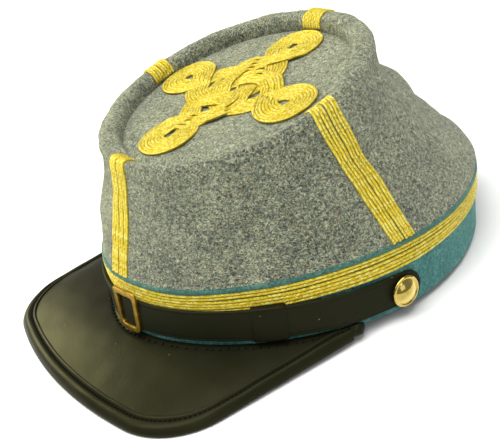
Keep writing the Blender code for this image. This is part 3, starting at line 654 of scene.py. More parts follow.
def make_grain_group():
    """Smooth leather's grain. Height is a noise and half the distance to the middles of
    small cells; Dust is 1 near the middles of some sparse cells; Rub is a slow noise."""
    group, start = new_group("leather_grain", ("Vector",), (("Cells per Metre", 1400.0),),
                             ("Height", "Dust", "Rub"))
    pores = cells(group, start["Vector"], start["Cells per Metre"])["Distance"]
    specks = cells(group, start["Vector"], 150.0)
    near = calc(group, "LESS_THAN", specks["Distance"], 0.036)
    chance = add_node(group, "SeparateColor", {0: specks["Color"]})[0]
    return close_group(group, {
        "Height": scaled(group, pores, 0.5, noise(group, start["Vector"], 420.0, 4.0, 0.6)[0]),
        "Dust": calc(group, "MULTIPLY", near, calc(group, "GREATER_THAN", chance, 0.6)),
        "Rub": noise(group, start["Vector"], 28.0, 5.0, 0.6)[0]})


pile_group = make_pile_group()
thread_group = make_thread_group()
grain_group = make_grain_group()


# ---- finishes

def new_finish(name):
    """A material and its nodes, with a Principled shader."""
    made = bpy.data.materials.new(name)
    made.use_nodes = True
    return made, made.node_tree


def finished(made, **inputs):
    """The material, its patterns linked to its Principled shader, and its even values
    set on the shader's own sockets."""
    tree = made.node_tree
    fill(tree, tree.nodes["Principled BSDF"],
         {key.replace("_", " "): value for key, value in inputs.items()})
    return made


def bump(tree, height, distance_mm):
    """Normal of a height pattern."""
    return add_node(tree, "Bump", {"Height": height, "Distance": distance_mm * MM,
                                   "Strength": 1.0})[0]


def coordinates(tree, kind):
    """The piece's own coordinates: its Object ones in metres, or its UV in millimetres."""
    return add_node(tree, "TexCoord", {})[kind]


def new_wool(name, fibre_mm, shares, stops, depth_mm, **constants):
    """Felted wool of a fibre's width, length and clump. Its light and dark, about 0.5,
    are single fibres, clumps and slow patches, each times its share, and pick a colour
    from the stops."""
    made, tree = new_finish(name)
    pile = add_node(tree, "Group", {"UV": coordinates(tree, "UV"), "Vector": coordinates(tree, "Object"),
                                    "Width mm": fibre_mm[0], "Length mm": fibre_mm[1],
                                    "Clump mm": fibre_mm[2]}, node_tree=pile_group)
    tone = 0.5
    for layer, share in zip(("Shade", "Clump", "Patch"), shares):
        tone = scaled(tree, calc(tree, "SUBTRACT", pile[layer], 0.5), share, tone)
    finished(made, Normal=bump(tree, pile["Height"], depth_mm), **constants)
    return made, tree, pile, ramp(tree, tone, *stops)


def make_grey_wool():
    """Heather wool: slate, grey-green, beige and brownish fibres, and a few rust ones."""
    made, tree, pile, colour = new_wool(
        "heather_wool", (0.25, 1.8, 1.3), (0.88, 1.10, 0.35),
        ((0.12, (0.013, 0.018, 0.019)), (0.34, (0.042, 0.052, 0.047)), (0.50, (0.098, 0.117, 0.089)),
         (0.66, (0.208, 0.229, 0.151)), (0.90, (0.500, 0.516, 0.340))), 0.25,
        Roughness=0.95, Sheen_Weight=0.3, Sheen_Roughness=0.6, Sheen_Tint=(0.88, 0.9, 0.72, 1.0),
        Specular_IOR_Level=0.12)
    hue = ramp(tree, pile["Hue"], (0.1, (0.84, 0.98, 1.18)), (0.5, (1.0, 1.0, 1.0)),
               (0.9, (1.15, 1.0, 0.78)))
    tinted = blend(tree, 0.85, colour, hue, "MULTIPLY")
    stray = calc(tree, "GREATER_THAN", pile["Stray"], 0.994)
    return finished(made, Base_Color=blend(tree, stray, tinted, (0.34, 0.15, 0.03, 1.0)))


def make_teal_wool(name, cast):
    """Teal felt with lighter worn fibres, its colours multiplied by a cast."""
    made, tree, _, colour = new_wool(
        name, (0.32, 2.0, 1.6), (0.4, 0.7, 0.55),
        ((0.22, (0.014, 0.068, 0.068)), (0.46, (0.030, 0.138, 0.134)), (0.64, (0.078, 0.240, 0.218)),
         (0.82, (0.200, 0.380, 0.330))), 0.2,
        Roughness=0.92, Sheen_Weight=0.35, Sheen_Roughness=0.55, Sheen_Tint=(0.5, 0.85, 0.78, 1.0),
        Specular_IOR_Level=0.15)
    return finished(made, Base_Color=blend(tree, 1.0, colour, (*cast, 1.0), "MULTIPLY"))


def make_gold():
    """Metal thread soutache: rich gold with painted glints of pale gold, and painted
    shade of dark brown between the ribs and the strands.
    """
    made, tree = new_finish("gold_thread")
    thread = add_node(tree, "Group", {"UV": coordinates(tree, "UV"), "Thread mm": 0.72},
                      node_tree=thread_group)
    # the painted glints make most of the tone that picks the gold's colour, up to pale gold
    tone = scaled(tree, thread["Thread"], 0.20, thread["Glint"])
    colour = ramp(tree, tone, (0.24, (0.46, 0.30, 0.005)), (0.46, (0.76, 0.56, 0.011)),
                  (0.70, (0.94, 0.76, 0.045)), (0.92, (1.0, 0.95, 0.32)))
    return finished(made, Roughness=0.38, Metallic=0.6, Specular_IOR_Level=0.6,
                    # painted shade: dark brown where Rib is low, in the groove and between the strands
                    Base_Color=blend(tree, thread["Rib"], (0.330, 0.215, 0.008, 1.0), colour),
                    Normal=bump(tree, thread["Height"], 0.14))


def make_leather(name, roughness, tint):
    """Smooth black leather with fine grain, rubbed patches and a little dust."""
    made, tree = new_finish(name)
    grain = add_node(tree, "Group", {"Vector": coordinates(tree, "Object"), "Cells per Metre": 1500.0},
                     node_tree=grain_group)
    colour = ramp(tree, grain["Rub"], (0.3, [0.6 * value for value in tint]), (0.7, tint))
    rub = calc(tree, "SUBTRACT", grain["Rub"], 0.5)
    return finished(made, Specular_IOR_Level=0.1, Specular_Tint=(1.0, 0.98, 0.5, 1.0),
                    Base_Color=blend(tree, grain["Dust"], colour, (0.22, 0.22, 0.15, 1.0)),
                    Roughness=scaled(tree, rub, 0.22, roughness),
                    Normal=bump(tree, grain["Height"], 0.05))


def make_metal(name, colour, tarnish, roughness, spread, painted_reflection_shade=None):
    """Brass with cloudy tarnish and fine rubbing marks. Where it faces the eye its
    colour may be multiplied by a painted reflection shade, darker in the middle, so
    that its rounded edges stay the brightest."""
    made, tree = new_finish(name)
    where = coordinates(tree, "Object")
    cloud = noise(tree, where, 320.0, 5.0, 0.65)[0]
    shade = ramp(tree, cloud, (0.32, tarnish), (0.62, colour))
    # painted reflection: the colour darkens where the surface faces the eye, as a dark reflection would
    if painted_reflection_shade:
        facing = add_node(tree, "LayerWeight", {"Blend": 0.35})["Facing"]
        shade = blend(tree, 1.0, shade, ramp(tree, facing, (0.12, painted_reflection_shade),
                                             (0.45, (1.0, 1.0, 1.0))), "MULTIPLY")
    return finished(made, Metallic=1.0, Base_Color=shade,
                    Roughness=scaled(tree, cloud, spread, roughness),
                    Normal=bump(tree, noise(tree, where, 1800.0, 2.0)[0], 0.01))


def make_plain(name, colour, roughness, unevenness, shine):
    """A matt finish whose colour wanders a little."""
    made, tree = new_finish(name)
    cloud = noise(tree, coordinates(tree, "Object"), unevenness, 4.0)[0]
    low = [0.93 * value for value in colour]
    return finished(made, Roughness=roughness, Specular_IOR_Level=shine,
                    Base_Color=ramp(tree, cloud, (0.3, low), (0.7, colour)))


grey_wool = make_grey_wool()
teal_wool = make_teal_wool("teal_felt", (0.93, 1.0, 0.98))
welt_wool = make_teal_wool("welt_felt", (0.96, 0.72, 0.62))
gold = make_gold()
peak_leather = make_leather("peak_leather", 0.34, (0.013, 0.013, 0.006))
strap_leather = make_leather("strap_leather", 0.45, (0.011, 0.012, 0.006))
keeper_leather = make_leather("keeper_leather", 0.38, (0.009, 0.009, 0.005))
brass = make_metal("aged_brass", (0.42, 0.27, 0.036), (0.17, 0.10, 0.011), 0.30, 0.18)
# the last colour is a painted reflection shade that darkens the buttons' middles where they face the eye
gilt = make_metal("gilt", (0.95, 0.80, 0.31), (0.82, 0.61, 0.15), 0.04, 0.14,
                  (0.48, 0.456, 0.3456))
black_thread = make_plain("waxed_thread", (0.006, 0.006, 0.004), 0.8, 900.0, 0.04)
pale_ground = make_plain("pale_ground", (0.90, 0.90, 0.89), 0.7, 3.0, 0.5)


# ---- cloth pieces

def add_ring(name, rows, finish, slot, node, uv=None):
    """A piece whose rows close on themselves."""
    add_piece(name, surface(rows, True, uv), finish, slot, node)


def add_bar(name, rows, finish, slot, node):
    """A piece whose first and last rows are capped."""
    add_piece(name, surface(rows, False), finish, slot, node)


def add_crown():
    """The crown's shell: the outer skin, then under the roll and down the inner face,
    which follows the outer rows one cloth's thickness inside them."""
    around = full_turn(AROUND_COUNT)
    under = rim_point(around, np.array([[-ROLL_HALF_WIDTH], [-0.5]]), -DISC_DROP - CLOTH)
    inner = side(around, np.linspace(0.9, 0.0, 30)[:, None], CLOTH)
    rows = chain(crown_rows, under, inner)
    add_ring("crown_cloth", rows, grey_wool, "grey wool", "crown_side", grid_uv(rows))


def add_disc():
    """The sunk disc: rings of growing radius, its face a little uneven, with a turned
    down edge, then its flat underside."""
    share = np.linspace(0.02, 1, 60)[:, None]
    x = share * (RIM_HALF_WIDTH - ROLL_HALF_WIDTH) * np.cos(full_turn(240))
    y = share * (RIM_HALF_LENGTH - ROLL_HALF_WIDTH) * np.sin(full_turn(240))
    edge = DISC_EDGE_DROP * np.clip((share - DISC_REACH) / (1 - DISC_REACH), 0, 1)
    uneven = ripple(on_disc(x, y, -DISC_DROP), *DISC_RIPPLES)
    rows = chain(on_disc(x, y, uneven - DISC_DROP - edge),
                 on_disc(x[::-6], y[::-6], -DISC_DROP - CLOTH))
    plan = np.stack([x, y], -1)
    uv = looped(chain(plan, plan[::-6]))
    add_ring("crown_disc", rows, grey_wool, "grey wool", "crown_top", uv)


def add_wall_ring(name, height, out, finish, node):
    """A felt ring round the oval: a closed section of heights and outward distances
    carried round it, its outer points moved by slow unevenness."""
    around = wall_angles(RING_COUNT + 1)[1][:-1, None]
    lift = ripple(wall(around, height, out), *FELT_RIPPLES)
    points = wall(around, height, out + lift * np.clip(out / CLOTH + 1, 0, 1))
    add_ring(name, points, finish, "teal wool", node, grid_uv(points))


def add_band():
    """The band: a felt wall with soft upper and lower edges."""
    top = WELT_FOOT - 0.1
    face = np.linspace(1.0, top - 1.0, 22)
    height = chain([0.0, 0.0, 0.25, 0.6], face, [top - 0.4, top, top, top - 0.4],
                   face[::-3], [0.4])
    out = chain([-2.0, -0.8, -0.2, -0.03], 0.0 * face, [-0.03, -0.4, -2.2, -CLOTH],
                0.0 * face[::-3] - CLOTH, [-CLOTH])
    add_wall_ring("band_felt", height, out, teal_wool, "band")


def add_welt():
    """The welt: a flattened round lip of folded felt in front of a flat tail."""
    turn = np.radians(np.linspace(-90, 90, 17))
    height = WELT_LIP / 2 * (1 + signed_power(np.sin(turn), 0.75))
    height = WELT_FOOT + chain([0.0], height, [WELT_LIP])
    out = chain([-CLOTH], WELT_PROUD * np.cos(turn) ** 0.6, [-CLOTH])
    add_wall_ring("welt_felt", height, out, welt_wool, "welt")


# ---- soutache

def rib_section():
    """Closed section of a strand, across -1 to 1 and up 0 to 1: two round ribs with a
    groove between them on a flat back."""
    across = np.sin(np.linspace(-pi / 2, pi / 2, 13))
    rib = np.sqrt(np.clip(1 - (2 * np.abs(across) - 1) ** 2, 0, 1))
    up = RIB_GROOVE + (1 - RIB_GROOVE) * rib
    up[[0, -1]] = RIB_EDGE
    return np.append(across, [0.9, 0.0, -0.9]), np.append(up, [0.0, 0.0, 0.0])


def strand_uv(along, across, width, closed):
    """UV of a strand in millimetres: length along it, and distance from its middle."""
    rows = np.append(along, 2 * along[-1] - along[-2]) if closed else along
    return np.stack(np.broadcast_arrays(rows[:, None], np.append(across, across[0]) * width / 2), -1)


def strand(path, beside, up, width, closed=False):
    """A strand along a path: the rib section set across it by half the width, and up
    by the strand's rise."""
    across, level = rib_section()
    width = np.broadcast_to(width, len(path))
    points = (path[:, None] + beside[:, None] * (across * width[:, None] / 2)[..., None]
              + up[:, None] * (level * STRAND_RISE)[:, None])
    return surface(points, closed, strand_uv(path_length(path), across, width.mean(), closed))


def add_band_braid():
    """Three strands round the top of the band. A slow drift moves each a little, and a
    squared cosine opens the slit below the first."""
    across, level = rib_section()
    along, around = (row[:-1] for row in wall_angles(1000, height=WELT_TOP))
    slit = BAND_SLIT * np.clip(np.cos(around - radians(BAND_SLIT_DEG)), 0, 1) ** 2
    half = (BAND_STRAND_PITCH - BAND_STRAND_GAP) / 2
    for index in range(BAND_STRANDS):
        middle = WELT_FOOT - (index + 0.5) * BAND_STRAND_PITCH + drift(along, *BAND_SWAY, 20 + index)
        if index:
            middle -= slit
        points = wall(around[:, None], middle[:, None] + across * half,
                      BAND_STRAND_OFF + level * BAND_STRAND_RISE)
        add_ring(f"band_soutache_{index + 1}", points, gold, "gold soutache",
                 f"band_braid_{index + 1}", strand_uv(along + 3.3 * index, across, 2 * half, True))


def crown_aside(around, row):
    """Direction round the crown's skin, in millimetres per radian."""
    step = 0.002
    return (on_crown(around + step, row) - on_crown(around - step, row)) / (2 * step)


def add_braids():
    """Four strands from the welt up over the roll and down to the disc. Each is a path
    on the crown's skin beside the braid's middle, its spacing divided by the skin's
    millimetres per radian there. Its upper end sinks, eased, into the wool."""
    last_row = SIDE_COUNT - 1 + ROLL_COUNT + RECESS_COUNT - 2
    for number, (name, foot_deg, top_deg, rows_off, slits) in enumerate(BRAIDS):
        fine = np.linspace(0.6, last_row - rows_off, 900)
        lean = np.radians(foot_deg + (top_deg - foot_deg) * fine / last_row)
        along, row, middle = evenly(on_crown(lean, fine), BRAID_SAMPLES, fine, lean)
        per_radian = np.linalg.norm(crown_aside(middle, row), axis=1)
        offset = np.append(0, np.cumsum(BRAID_STRAND_PITCH + np.array(slits)))
        sunk = BRAID_SINK + BRAID_END_SINK * eased(along - along[-1], -BRAID_END, 0)[:, None]
        strands = []
        for index in range(BRAID_STRANDS):
            sway = drift(along, *BRAID_SWAY, 40 + 10 * number + index)
            angle = middle + (offset[index] - offset.mean() + sway) / per_radian
            path = on_crown(angle, row)
            path[1:-1] = (path[:-2] + path[1:-1] + path[2:]) / 3
            ahead, across = unit(np.gradient(path, axis=0)), crown_aside(angle, row)
            across = unit(across - (across * ahead).sum(-1, keepdims=True) * ahead)
            up = np.cross(across, ahead)
            strands.append(strand(path - sunk * up, across, up, BRAID_STRAND_PITCH - BRAID_STRAND_GAP))
        nodes = [f"{name}_braid_{index + 1}" for index in range(BRAID_STRANDS)]
        add_piece(f"{name}_soutache", joined(strands), gold, "gold soutache", *nodes)


def closed_spline(table, samples):
    """Smooth samples through a closed table of rows, by Catmull-Rom pieces."""
    count = len(table)
    t, index = np.modf(np.linspace(0, count, samples, endpoint=False))
    t, index = t[:, None], index.astype(int)
    a, b, c, d = (table[(index + k) % count] for k in (-1, 0, 1, 2))
    return 0.5 * (2 * b + (c - a) * t + (2 * a - 5 * b + 4 * c - d) * t ** 2
                  + (3 * b - a - 3 * c + d) * t ** 3)


def knot_centre_line():
    """The knot's centre line as rows of across and out: the eighth, its mirror image in
    the diagonal, and their copies turned by quarters."""
    eighth = np.array(KNOT_EIGHTH)
    turned = [chain(eighth, eighth[-2:0:-1][:, ::-1])]
    for _ in range(3):
        turned.append(turned[-1][:, ::-1] * [1, -1])
    return closed_spline(np.concatenate(turned), KNOT_SAMPLES)


def knot_lift(xy, inner):
    """Over (1) or under (0) along one strand. Each point is turned into the first arc's
    frame. A band is over on the side of its own lobe: the changes lie on rays from the
    centre, each eased over a short step. Round the centre it is over for the first half of the
    bend. The lobes themselves lie low. inner is 1 for the strands next to the centre."""
    arc, share = np.divmod(np.arange(len(xy)) * 4 / len(xy), 1)
    place_on = (xy[:, 0] + 1j * xy[:, 1]) * np.exp(0.5j * pi * arc)
    radius = np.abs(place_on)
    turn = np.degrees(np.angle(place_on * np.exp(-1.25j * pi)))
    turn = np.where((share < 0.5) & (turn > 0), turn - 360, turn)
    turn = np.where((share > 0.5) & (turn < -90), turn + 360, turn)
    half = np.degrees(KNOT_STEP_HALF / np.maximum(radius, 3))

    def passed(ray):
        return eased(turn, ray - half, ray + half)

    level = 1.0 + sum(change * passed(ray) for ray, change in KNOT_CHANGES)
    stays = KNOT_INNER_OVER[arc.astype(int)]
    early = (1 - stays) * inner * eased(turn, *KNOT_EARLY_DEG[:2]) * (turn < KNOT_EARLY_DEG[2])
    into, leaving = (passed(ray) for ray in KNOT_DIP_DEG)
    level = np.minimum(level - (into - leaving) * (1 - stays * inner), 1 - early)
    level = level - eased(share, *KNOT_ARC_END)
    low_from, low_to, low = KNOT_LOBE_LOW
    return level + (low - level) * eased(radius, low_from, low_to)


def add_knot():
    """The knot: four closed strands side by side along its centre line, lifted where
    they pass over. Seeded sines round it make each sway and rise a little."""
    xy = knot_centre_line()
    ahead = unit(np.roll(xy, -1, 0) - np.roll(xy, 1, 0))
    beside = np.stack([-ahead[:, 1], ahead[:, 0]], 1)
    side_way = beside @ RIM_AXES[:2]
    up = np.broadcast_to(RIM_AXES[2], side_way.shape)
    width = KNOT_WIDTH + (KNOT_LOBE_WIDTH - KNOT_WIDTH) * eased(
        np.linalg.norm(xy, axis=1), *KNOT_LOBE_FROM)
    turn = full_turn(KNOT_SAMPLES)[:, None]
    strands = []
    for index in range(BRAID_STRANDS):
        phases = np.random.default_rng(70 + index).uniform(0, 6.28, 4)
        sway = KNOT_SWAY * np.sin(turn * KNOT_WAVES + phases).sum(-1)
        high = KNOT_SWAY_UP * np.sin(turn * KNOT_WAVES[::-1] + phases).sum(-1)
        flat = xy + beside * ((index - 1.5) * width / 4 + sway)[:, None]
        lift = knot_lift(flat, eased(index, 0.5, 2.5)) * KNOT_OVER_RISE + high
        x, y = (flat + KNOT_CENTRE).T
        path = on_disc(x, y, -DISC_DROP + 0.02 + lift)
        strands.append(strand(path, side_way, up, width / 4 + KNOT_OVERLAP, closed=True))
    add_piece("knot_soutache", joined(strands), gold, "gold soutache", "top_knot")


# ---- strap and metal

def strap_height(around):
    """Height of the strap's middle: highest at the front, lower at the ends."""
    rise = np.sin(-np.clip(around, -pi, 0)) ** 0.95
    return STRAP_END_HEIGHT + (STRAP_FRONT_HEIGHT - STRAP_END_HEIGHT) * rise


def strap_off(around):
    """The strap's inner face from the band, easing from close at the ends to stand-off."""
    ease = eased(np.minimum(-around, around + pi), *STRAP_EASE)
    return STRAP_CLOSE + (STRAP_STAND_OFF - STRAP_CLOSE) * ease


def add_chin_strap():
    """The strap: a bar with soft edges and a creased line along each, carried round the
    front; near its ends its width shrinks as a circle's chord."""
    even = wall_angles(500, -pi - STRAP_END, STRAP_END, STRAP_FRONT_HEIGHT)[1]
    tip = 1 - np.cos(np.linspace(0.06, pi / 2, 14))
    near = STRAP_END - STRAP_WIDTH / 2 / STRAP_PER_RADIAN * tip
    middle = even[(even > -pi - near[-1]) & (even < near[-1])]
    around = chain(-pi - near, middle, near[::-1])
    from_end = np.minimum(STRAP_END - around, around + pi + STRAP_END) * STRAP_PER_RADIAN
    chord = np.sqrt(1 - np.clip(1 - from_end / (STRAP_WIDTH / 2), 0, 1) ** 2)
    face = np.linspace(-0.93, 0.93, 49)
    depth, place_at, wide = STRAP_CREASE
    face_up = 1 + STRAP_SWELL * (1 - face ** 2) - depth * np.exp(-((np.abs(face) - place_at) / wide) ** 2)
    edge = np.array([-0.965, -0.99, -1.0, -1.0, -0.97])
    edge_up = np.array([0.95, 0.86, 0.7, 0.3, 0.05])
    across = chain(edge[::-1], face, -edge, face[::-4])
    up = chain(edge_up[::-1], face_up, edge_up, 0.0 * face[::-4])
    height = strap_height(around) + drift(around * STRAP_PER_RADIAN, *STRAP_SWAY, 91)
    half = STRAP_WIDTH / 2 * chord
    points = wall(around[:, None], height[:, None] + across * half[:, None],
                  strap_off(around)[:, None] + up * STRAP_THICK)
    add_bar("strap_leather", points, strap_leather, "black leather", "chin_strap")


def keeper_section(beside, below, above, radius):
    """Closed section round the strap, as (across, up): a rectangle by its distances
    from the strap, whose corners are quarter circles, from its lower right round to its
    lower left."""
    turn = np.linspace(0, pi / 2, 6)
    a, b = radius * np.cos(turn), radius * np.sin(turn)
    x, low = STRAP_WIDTH / 2 + beside - radius, STRAP_STAND_OFF + below + radius
    high = STRAP_STAND_OFF + STRAP_THICK + above - radius
    return (chain(x + b, x + a, -x - b, -x - a),
            chain(low - a, high + b, high + a, low - b))


def add_keeper():
    """The keeper: a rounded loop section round the strap, run along it outside and back
    inside, which makes a closed sleeve. Its outer edges are rounded off by a twelfth
    power of the distance from its middle."""
    share = np.linspace(-1, 1, 26)[:, None]
    around = radians(KEEPER_DEG) + share * KEEPER_HALF_TURN
    across, up = keeper_section(*KEEPER_OUTSIDE)
    shrink = KEEPER_EDGE * np.abs(share) ** 12
    outside = wall(around, strap_height(around) + across * (1 - shrink / (STRAP_WIDTH / 2)),
                   up - shrink * (up > STRAP_STAND_OFF))
    across, up = keeper_section(*KEEPER_INSIDE)
    inside = wall(around[::-3], strap_height(around[::-3]) + across, up)
    add_ring("keeper_loop", chain(outside, inside), keeper_leather, "black leather",
             "strap_keeper")


def rounded_rectangle(half_length, half_height, radius):
    """Outline of a rectangle with quarter-circle corners, anticlockwise, as (x, y)."""
    turn = np.linspace(0, pi / 2, 9)
    corner = np.stack([half_length - radius + radius * np.cos(turn),
                       half_height - radius + radius * np.sin(turn)], 1)
    quarters = [corner, corner[::-1] * [-1, 1], -corner, corner[::-1] * [1, -1], corner[:1]]
    points = np.concatenate(quarters)
    share = np.linspace(0, 1, 5, endpoint=False)[:, None]
    return (points[:-1, None] + (points[1:] - points[:-1])[:, None] * share).reshape(-1, 2)


def add_buckle():
    """The slide frame: between an outer and an inner rounded rectangle, with rolled
    edges, bent to the band in front of the strap."""
    around, step = radians(BUCKLE_DEG), 0.005
    ends = wall(np.array([around - step, around + step]), BUCKLE_HEIGHT_ON_WALL)
    per_mm = 2 * step / np.linalg.norm(ends[1] - ends[0])
    low = STRAP_STAND_OFF + STRAP_THICK + BUCKLE_CLEAR
    high = low + BUCKLE_THICK - BUCKLE_EDGE
    turn = np.linspace(0, pi / 2, 5)
    rise = chain([low], high + BUCKLE_EDGE * np.sin(turn),
                 high + BUCKLE_EDGE * np.cos(turn), [low])
    inset = chain([0.0], BUCKLE_EDGE - BUCKLE_EDGE * np.cos(turn),
                  BUCKLE_BAR - BUCKLE_EDGE + BUCKLE_EDGE * np.sin(turn), [BUCKLE_BAR])
    rings = []
    for share, out in zip(inset / BUCKLE_BAR, rise):
        inward = BUCKLE_OPENING_IN * share
        x, y = rounded_rectangle(BUCKLE_WIDTH / 2 - inward, BUCKLE_HEIGHT / 2 - inward,
                                 BUCKLE_CORNER - 0.6 * share).T
        rings.append(wall(around + (x + BUCKLE_OPENING_ALONG * share) * per_mm,
                          BUCKLE_HEIGHT_ON_WALL + y, out + BUCKLE_LEAN * y))
    add_ring("slide_buckle", np.stack(rings, 1), brass, "brass", "strap_buckle")


def wall_axes(around, height, out):
    """Point and directions on the band: along it, up it, and outward."""
    step = 0.001
    here = wall(around, height, out)
    along = unit(wall(around + step, height, out) - wall(around - step, height, out))
    upward = unit(wall(around, height + step, out) - wall(around, height - step, out))
    return here, along, upward, np.cross(along, upward)


def add_buttons():
    """Domed buttons: a profile of radius and height, straight between its rows, turned
    about the outward line."""
    index = np.linspace(0, len(BUTTON_PROFILE) - 1, 73)
    radius, rise = (np.interp(index, np.arange(len(BUTTON_PROFILE)), column)[:, None]
                    for column in BUTTON_PROFILE.T)
    radius = np.maximum(BUTTON_SCALE * radius, 0.01)
    turn = full_turn(BUTTON_SIDES)[:, None]
    left = radians(BUTTON_DEG)
    for name, around in (("left", left), ("right", -pi - left)):
        here, along, upward, outward = wall_axes(around, BUTTON_HEIGHT_ON_WALL, BUTTON_LIFT)
        spoke = np.cos(turn) * along + np.sin(turn) * upward
        points = here + radius[..., None] * spoke + (rise * outward)[:, None]
        add_bar(f"{name}_gilt_button", points, gilt, "gilt", f"{name}_button")


# ---- peak

def peak_edge():
    """The middle of the peak's outer edge, from the right tip to the left one, at even
    steps in plan: a bowed front, whose bow grows as the square of the distance from its
    middle, round corners and straight sides. It falls evenly from the tips to the front,
    and a little more at the corners."""
    front_x = np.linspace(0, PEAK_FRONT_HALF, 60)
    front_y = PEAK_FRONT_Y + PEAK_BOW * (front_x / PEAK_HALF_WIDTH) ** 2
    slope = math.atan(2 * PEAK_BOW * PEAK_FRONT_HALF / PEAK_HALF_WIDTH ** 2)
    turn = np.linspace(slope - pi / 2, PEAK_CORNER_END, 60)[1:]
    corner_x = PEAK_FRONT_HALF + PEAK_CORNER_RADIUS * (np.cos(turn) - math.sin(slope))
    corner_y = front_y[-1] + PEAK_CORNER_RADIUS * (np.sin(turn) + math.cos(slope))
    tip_x = wall(PEAK_TIP_TURN, 0.0, PEAK_TIP_OUT)[0]
    share = np.linspace(0, 1, 40)[1:]
    x = chain(front_x, corner_x, corner_x[-1] + (tip_x - corner_x[-1]) * share)
    y = chain(front_y, corner_y, corner_y[-1] + (PEAK_TIP_Y - corner_y[-1]) * share)
    half = np.stack([x, y], 1)
    plan = chain(half[:0:-1] * [-1, 1], half)
    _, x, y = evenly(plan, PEAK_SAMPLES, *plan.T)
    fall = np.clip((PEAK_TIP_Y - y) / (PEAK_TIP_Y - PEAK_FRONT_Y), 0, 1)
    drop = PEAK_CORNER_DROP * (x / PEAK_HALF_WIDTH) ** 2
    return np.stack([x, y, PEAK_TIP_Z + (PEAK_EDGE_Z - PEAK_TIP_Z - drop) * fall], 1)


def peak_seam():
    """The peak's inner edge, along the band: highest at the front."""
    around = np.linspace(-pi - PEAK_TIP_TURN, PEAK_TIP_TURN, PEAK_SAMPLES)
    rise = np.sin(pi * np.linspace(0, 1, PEAK_SAMPLES)) ** 0.7
    return wall(around, PEAK_SEAM_TIP_Z + (PEAK_SEAM_Z - PEAK_SEAM_TIP_Z) * rise, 0.1)


seam_line = peak_seam()
edge_line = peak_edge()
peak_width = np.linalg.norm(edge_line - seam_line, axis=1)
stations = np.arange(PEAK_SAMPLES, dtype=float)
binding_squeeze = np.minimum(1, (peak_width - 0.9) / BINDING_DEPTH)


def between(rows, at):
    """Rows at places between whole numbers, straight from one to the next."""
    low = np.clip(at.astype(int), 0, len(rows) - 2)
    share = (at - low)[..., None]
    return rows[low] * (1 - share) + rows[low + 1] * share


def peak_point(station, share, rise):
    """Point of the peak at a station, a share of the way from seam (0) to edge (1), and
    a rise over its middle surface, which swells as share times one less share."""
    station, share, rise = np.broadcast_arrays(station, share, rise)
    seam, way = between(seam_line, station), between(edge_line - seam_line, station)
    point = seam + way * share[..., None]
    full = np.clip(np.linalg.norm(way, axis=-1) / PEAK_SWELL_WIDTH, 0, 1)
    point[..., 2] += PEAK_SWELL * 4 * share * (1 - share) * full + rise
    return point


def add_peak():
    """The peak's leather: a plate with fine waves, drawn down a little at the seam's
    stitches."""
    station, width = stations[:, None], peak_width[:, None]
    share = chain(np.linspace(0, 0.1, 16), np.linspace(0.1, 1, 60)[1:])
    reach = share * (1 - 1.4 / width)
    pull = STITCH_PULL * np.exp(-((share * width - STITCH_LINE) / 1.1) ** 2)
    wave = ripple(peak_point(station, reach, 0.0), *PEAK_RIPPLES)
    top = peak_point(station, reach, PEAK_THICK / 2 + wave - pull)
    under = peak_point(station, reach[:, ::-2], -PEAK_THICK / 2)
    rows = np.concatenate([top, under], 1)[:, :-1]
    add_bar("peak_plate", rows, peak_leather, "black leather", "peak")


def add_binding():
    """The binding strip: its section, with a point midway between each two of its rows
    and one inside, carried round the peak's edge, narrowed where the peak runs out at
    the tips, with slow unevenness in its roll."""
    count = len(BINDING_SECTION)
    fine = np.linspace(0, count - 1, 2 * count - 1)
    back, rise = (np.append(np.interp(fine, np.arange(count), column), inside)
                  for column, inside in zip(BINDING_SECTION.T, (3.0, -1.12)))
    share = 1 - back * (binding_squeeze / peak_width)[:, None]
    flat = peak_point(stations[:, None], share, rise)
    lift = ripple(flat, (0.07, 16, 21)) * (np.abs(rise) > 1.2)
    points = peak_point(stations[:, None], share, rise + lift)
    add_bar("binding_roll", points, peak_leather, "black leather", "peak_binding")


def stitch_shape(length, radius):
    """A stitch: a capsule of rings whose radius follows a half sine, along its x."""
    turn, spin = np.linspace(0, pi, 7)[:, None], full_turn(8)
    size = radius * np.maximum(np.sin(turn), 0.05) ** 0.6
    x = np.broadcast_to(-length / 2 * np.cos(turn), (7, 8))
    return surface(np.stack([x, size * np.cos(spin), size * np.sin(spin)], -1), False)


def add_stitches(name, stitch, path, lean=None):
    """Copies of a stitch at the points of a path: along it and level, or, given their
    leans, across it and turned by them."""
    along = unit(np.gradient(path, axis=0))
    across = unit(np.cross([0.0, 0.0, 1.0], along))
    up = np.cross(along, across)
    if lean is not None:
        along = unit(across + lean[:, None] * along)
        across = np.cross(up, along)
    points, quads, coords = stitch
    spots = path[:, None] + np.einsum("pk,nkj->npj", points, np.stack([along, across, up], 1))
    shift = np.arange(len(path))[:, None, None] * len(points)
    shape = (spots.reshape(-1, 3), (quads + shift).reshape(-1, 4),
             np.tile(coords, (len(path), 1, 1)))
    add_piece(name, shape, black_thread, "black leather")


def add_binding_stitches():
    """Stitches end to end in the binding's groove, at an even pitch."""
    share = 1 - GROOVE_BACK * binding_squeeze / peak_width
    length = path_length(peak_point(stations, share, 1.5))
    count = int(length[-1] / GROOVE_STITCH_PITCH)
    at = np.interp(np.linspace(4, length[-1] - 4, count), length, stations)
    path = peak_point(at, np.interp(at, stations, share), 1.3)
    add_stitches("binding_stitches", stitch_shape(1.6, 0.42), path)


def add_seam_stitches():
    """Stitches that hold the peak to the band: short, uneven, across the seam, 3 to 4 mm
    from the band."""
    chance = np.random.default_rng(8)
    length = path_length(seam_line)
    steps = np.cumsum(chance.uniform(2.3, 5.0, 90)) + 8
    at = np.interp(steps[steps < length[-1] - 8], length, stations)
    off = chance.uniform(2.8, 3.8, len(at))
    path = peak_point(at, off / np.interp(at, stations, peak_width), PEAK_THICK / 2 - 0.25)
    add_stitches("seam_stitches", stitch_shape(1.9, 0.46), path, chance.normal(0, 0.35, len(at)))


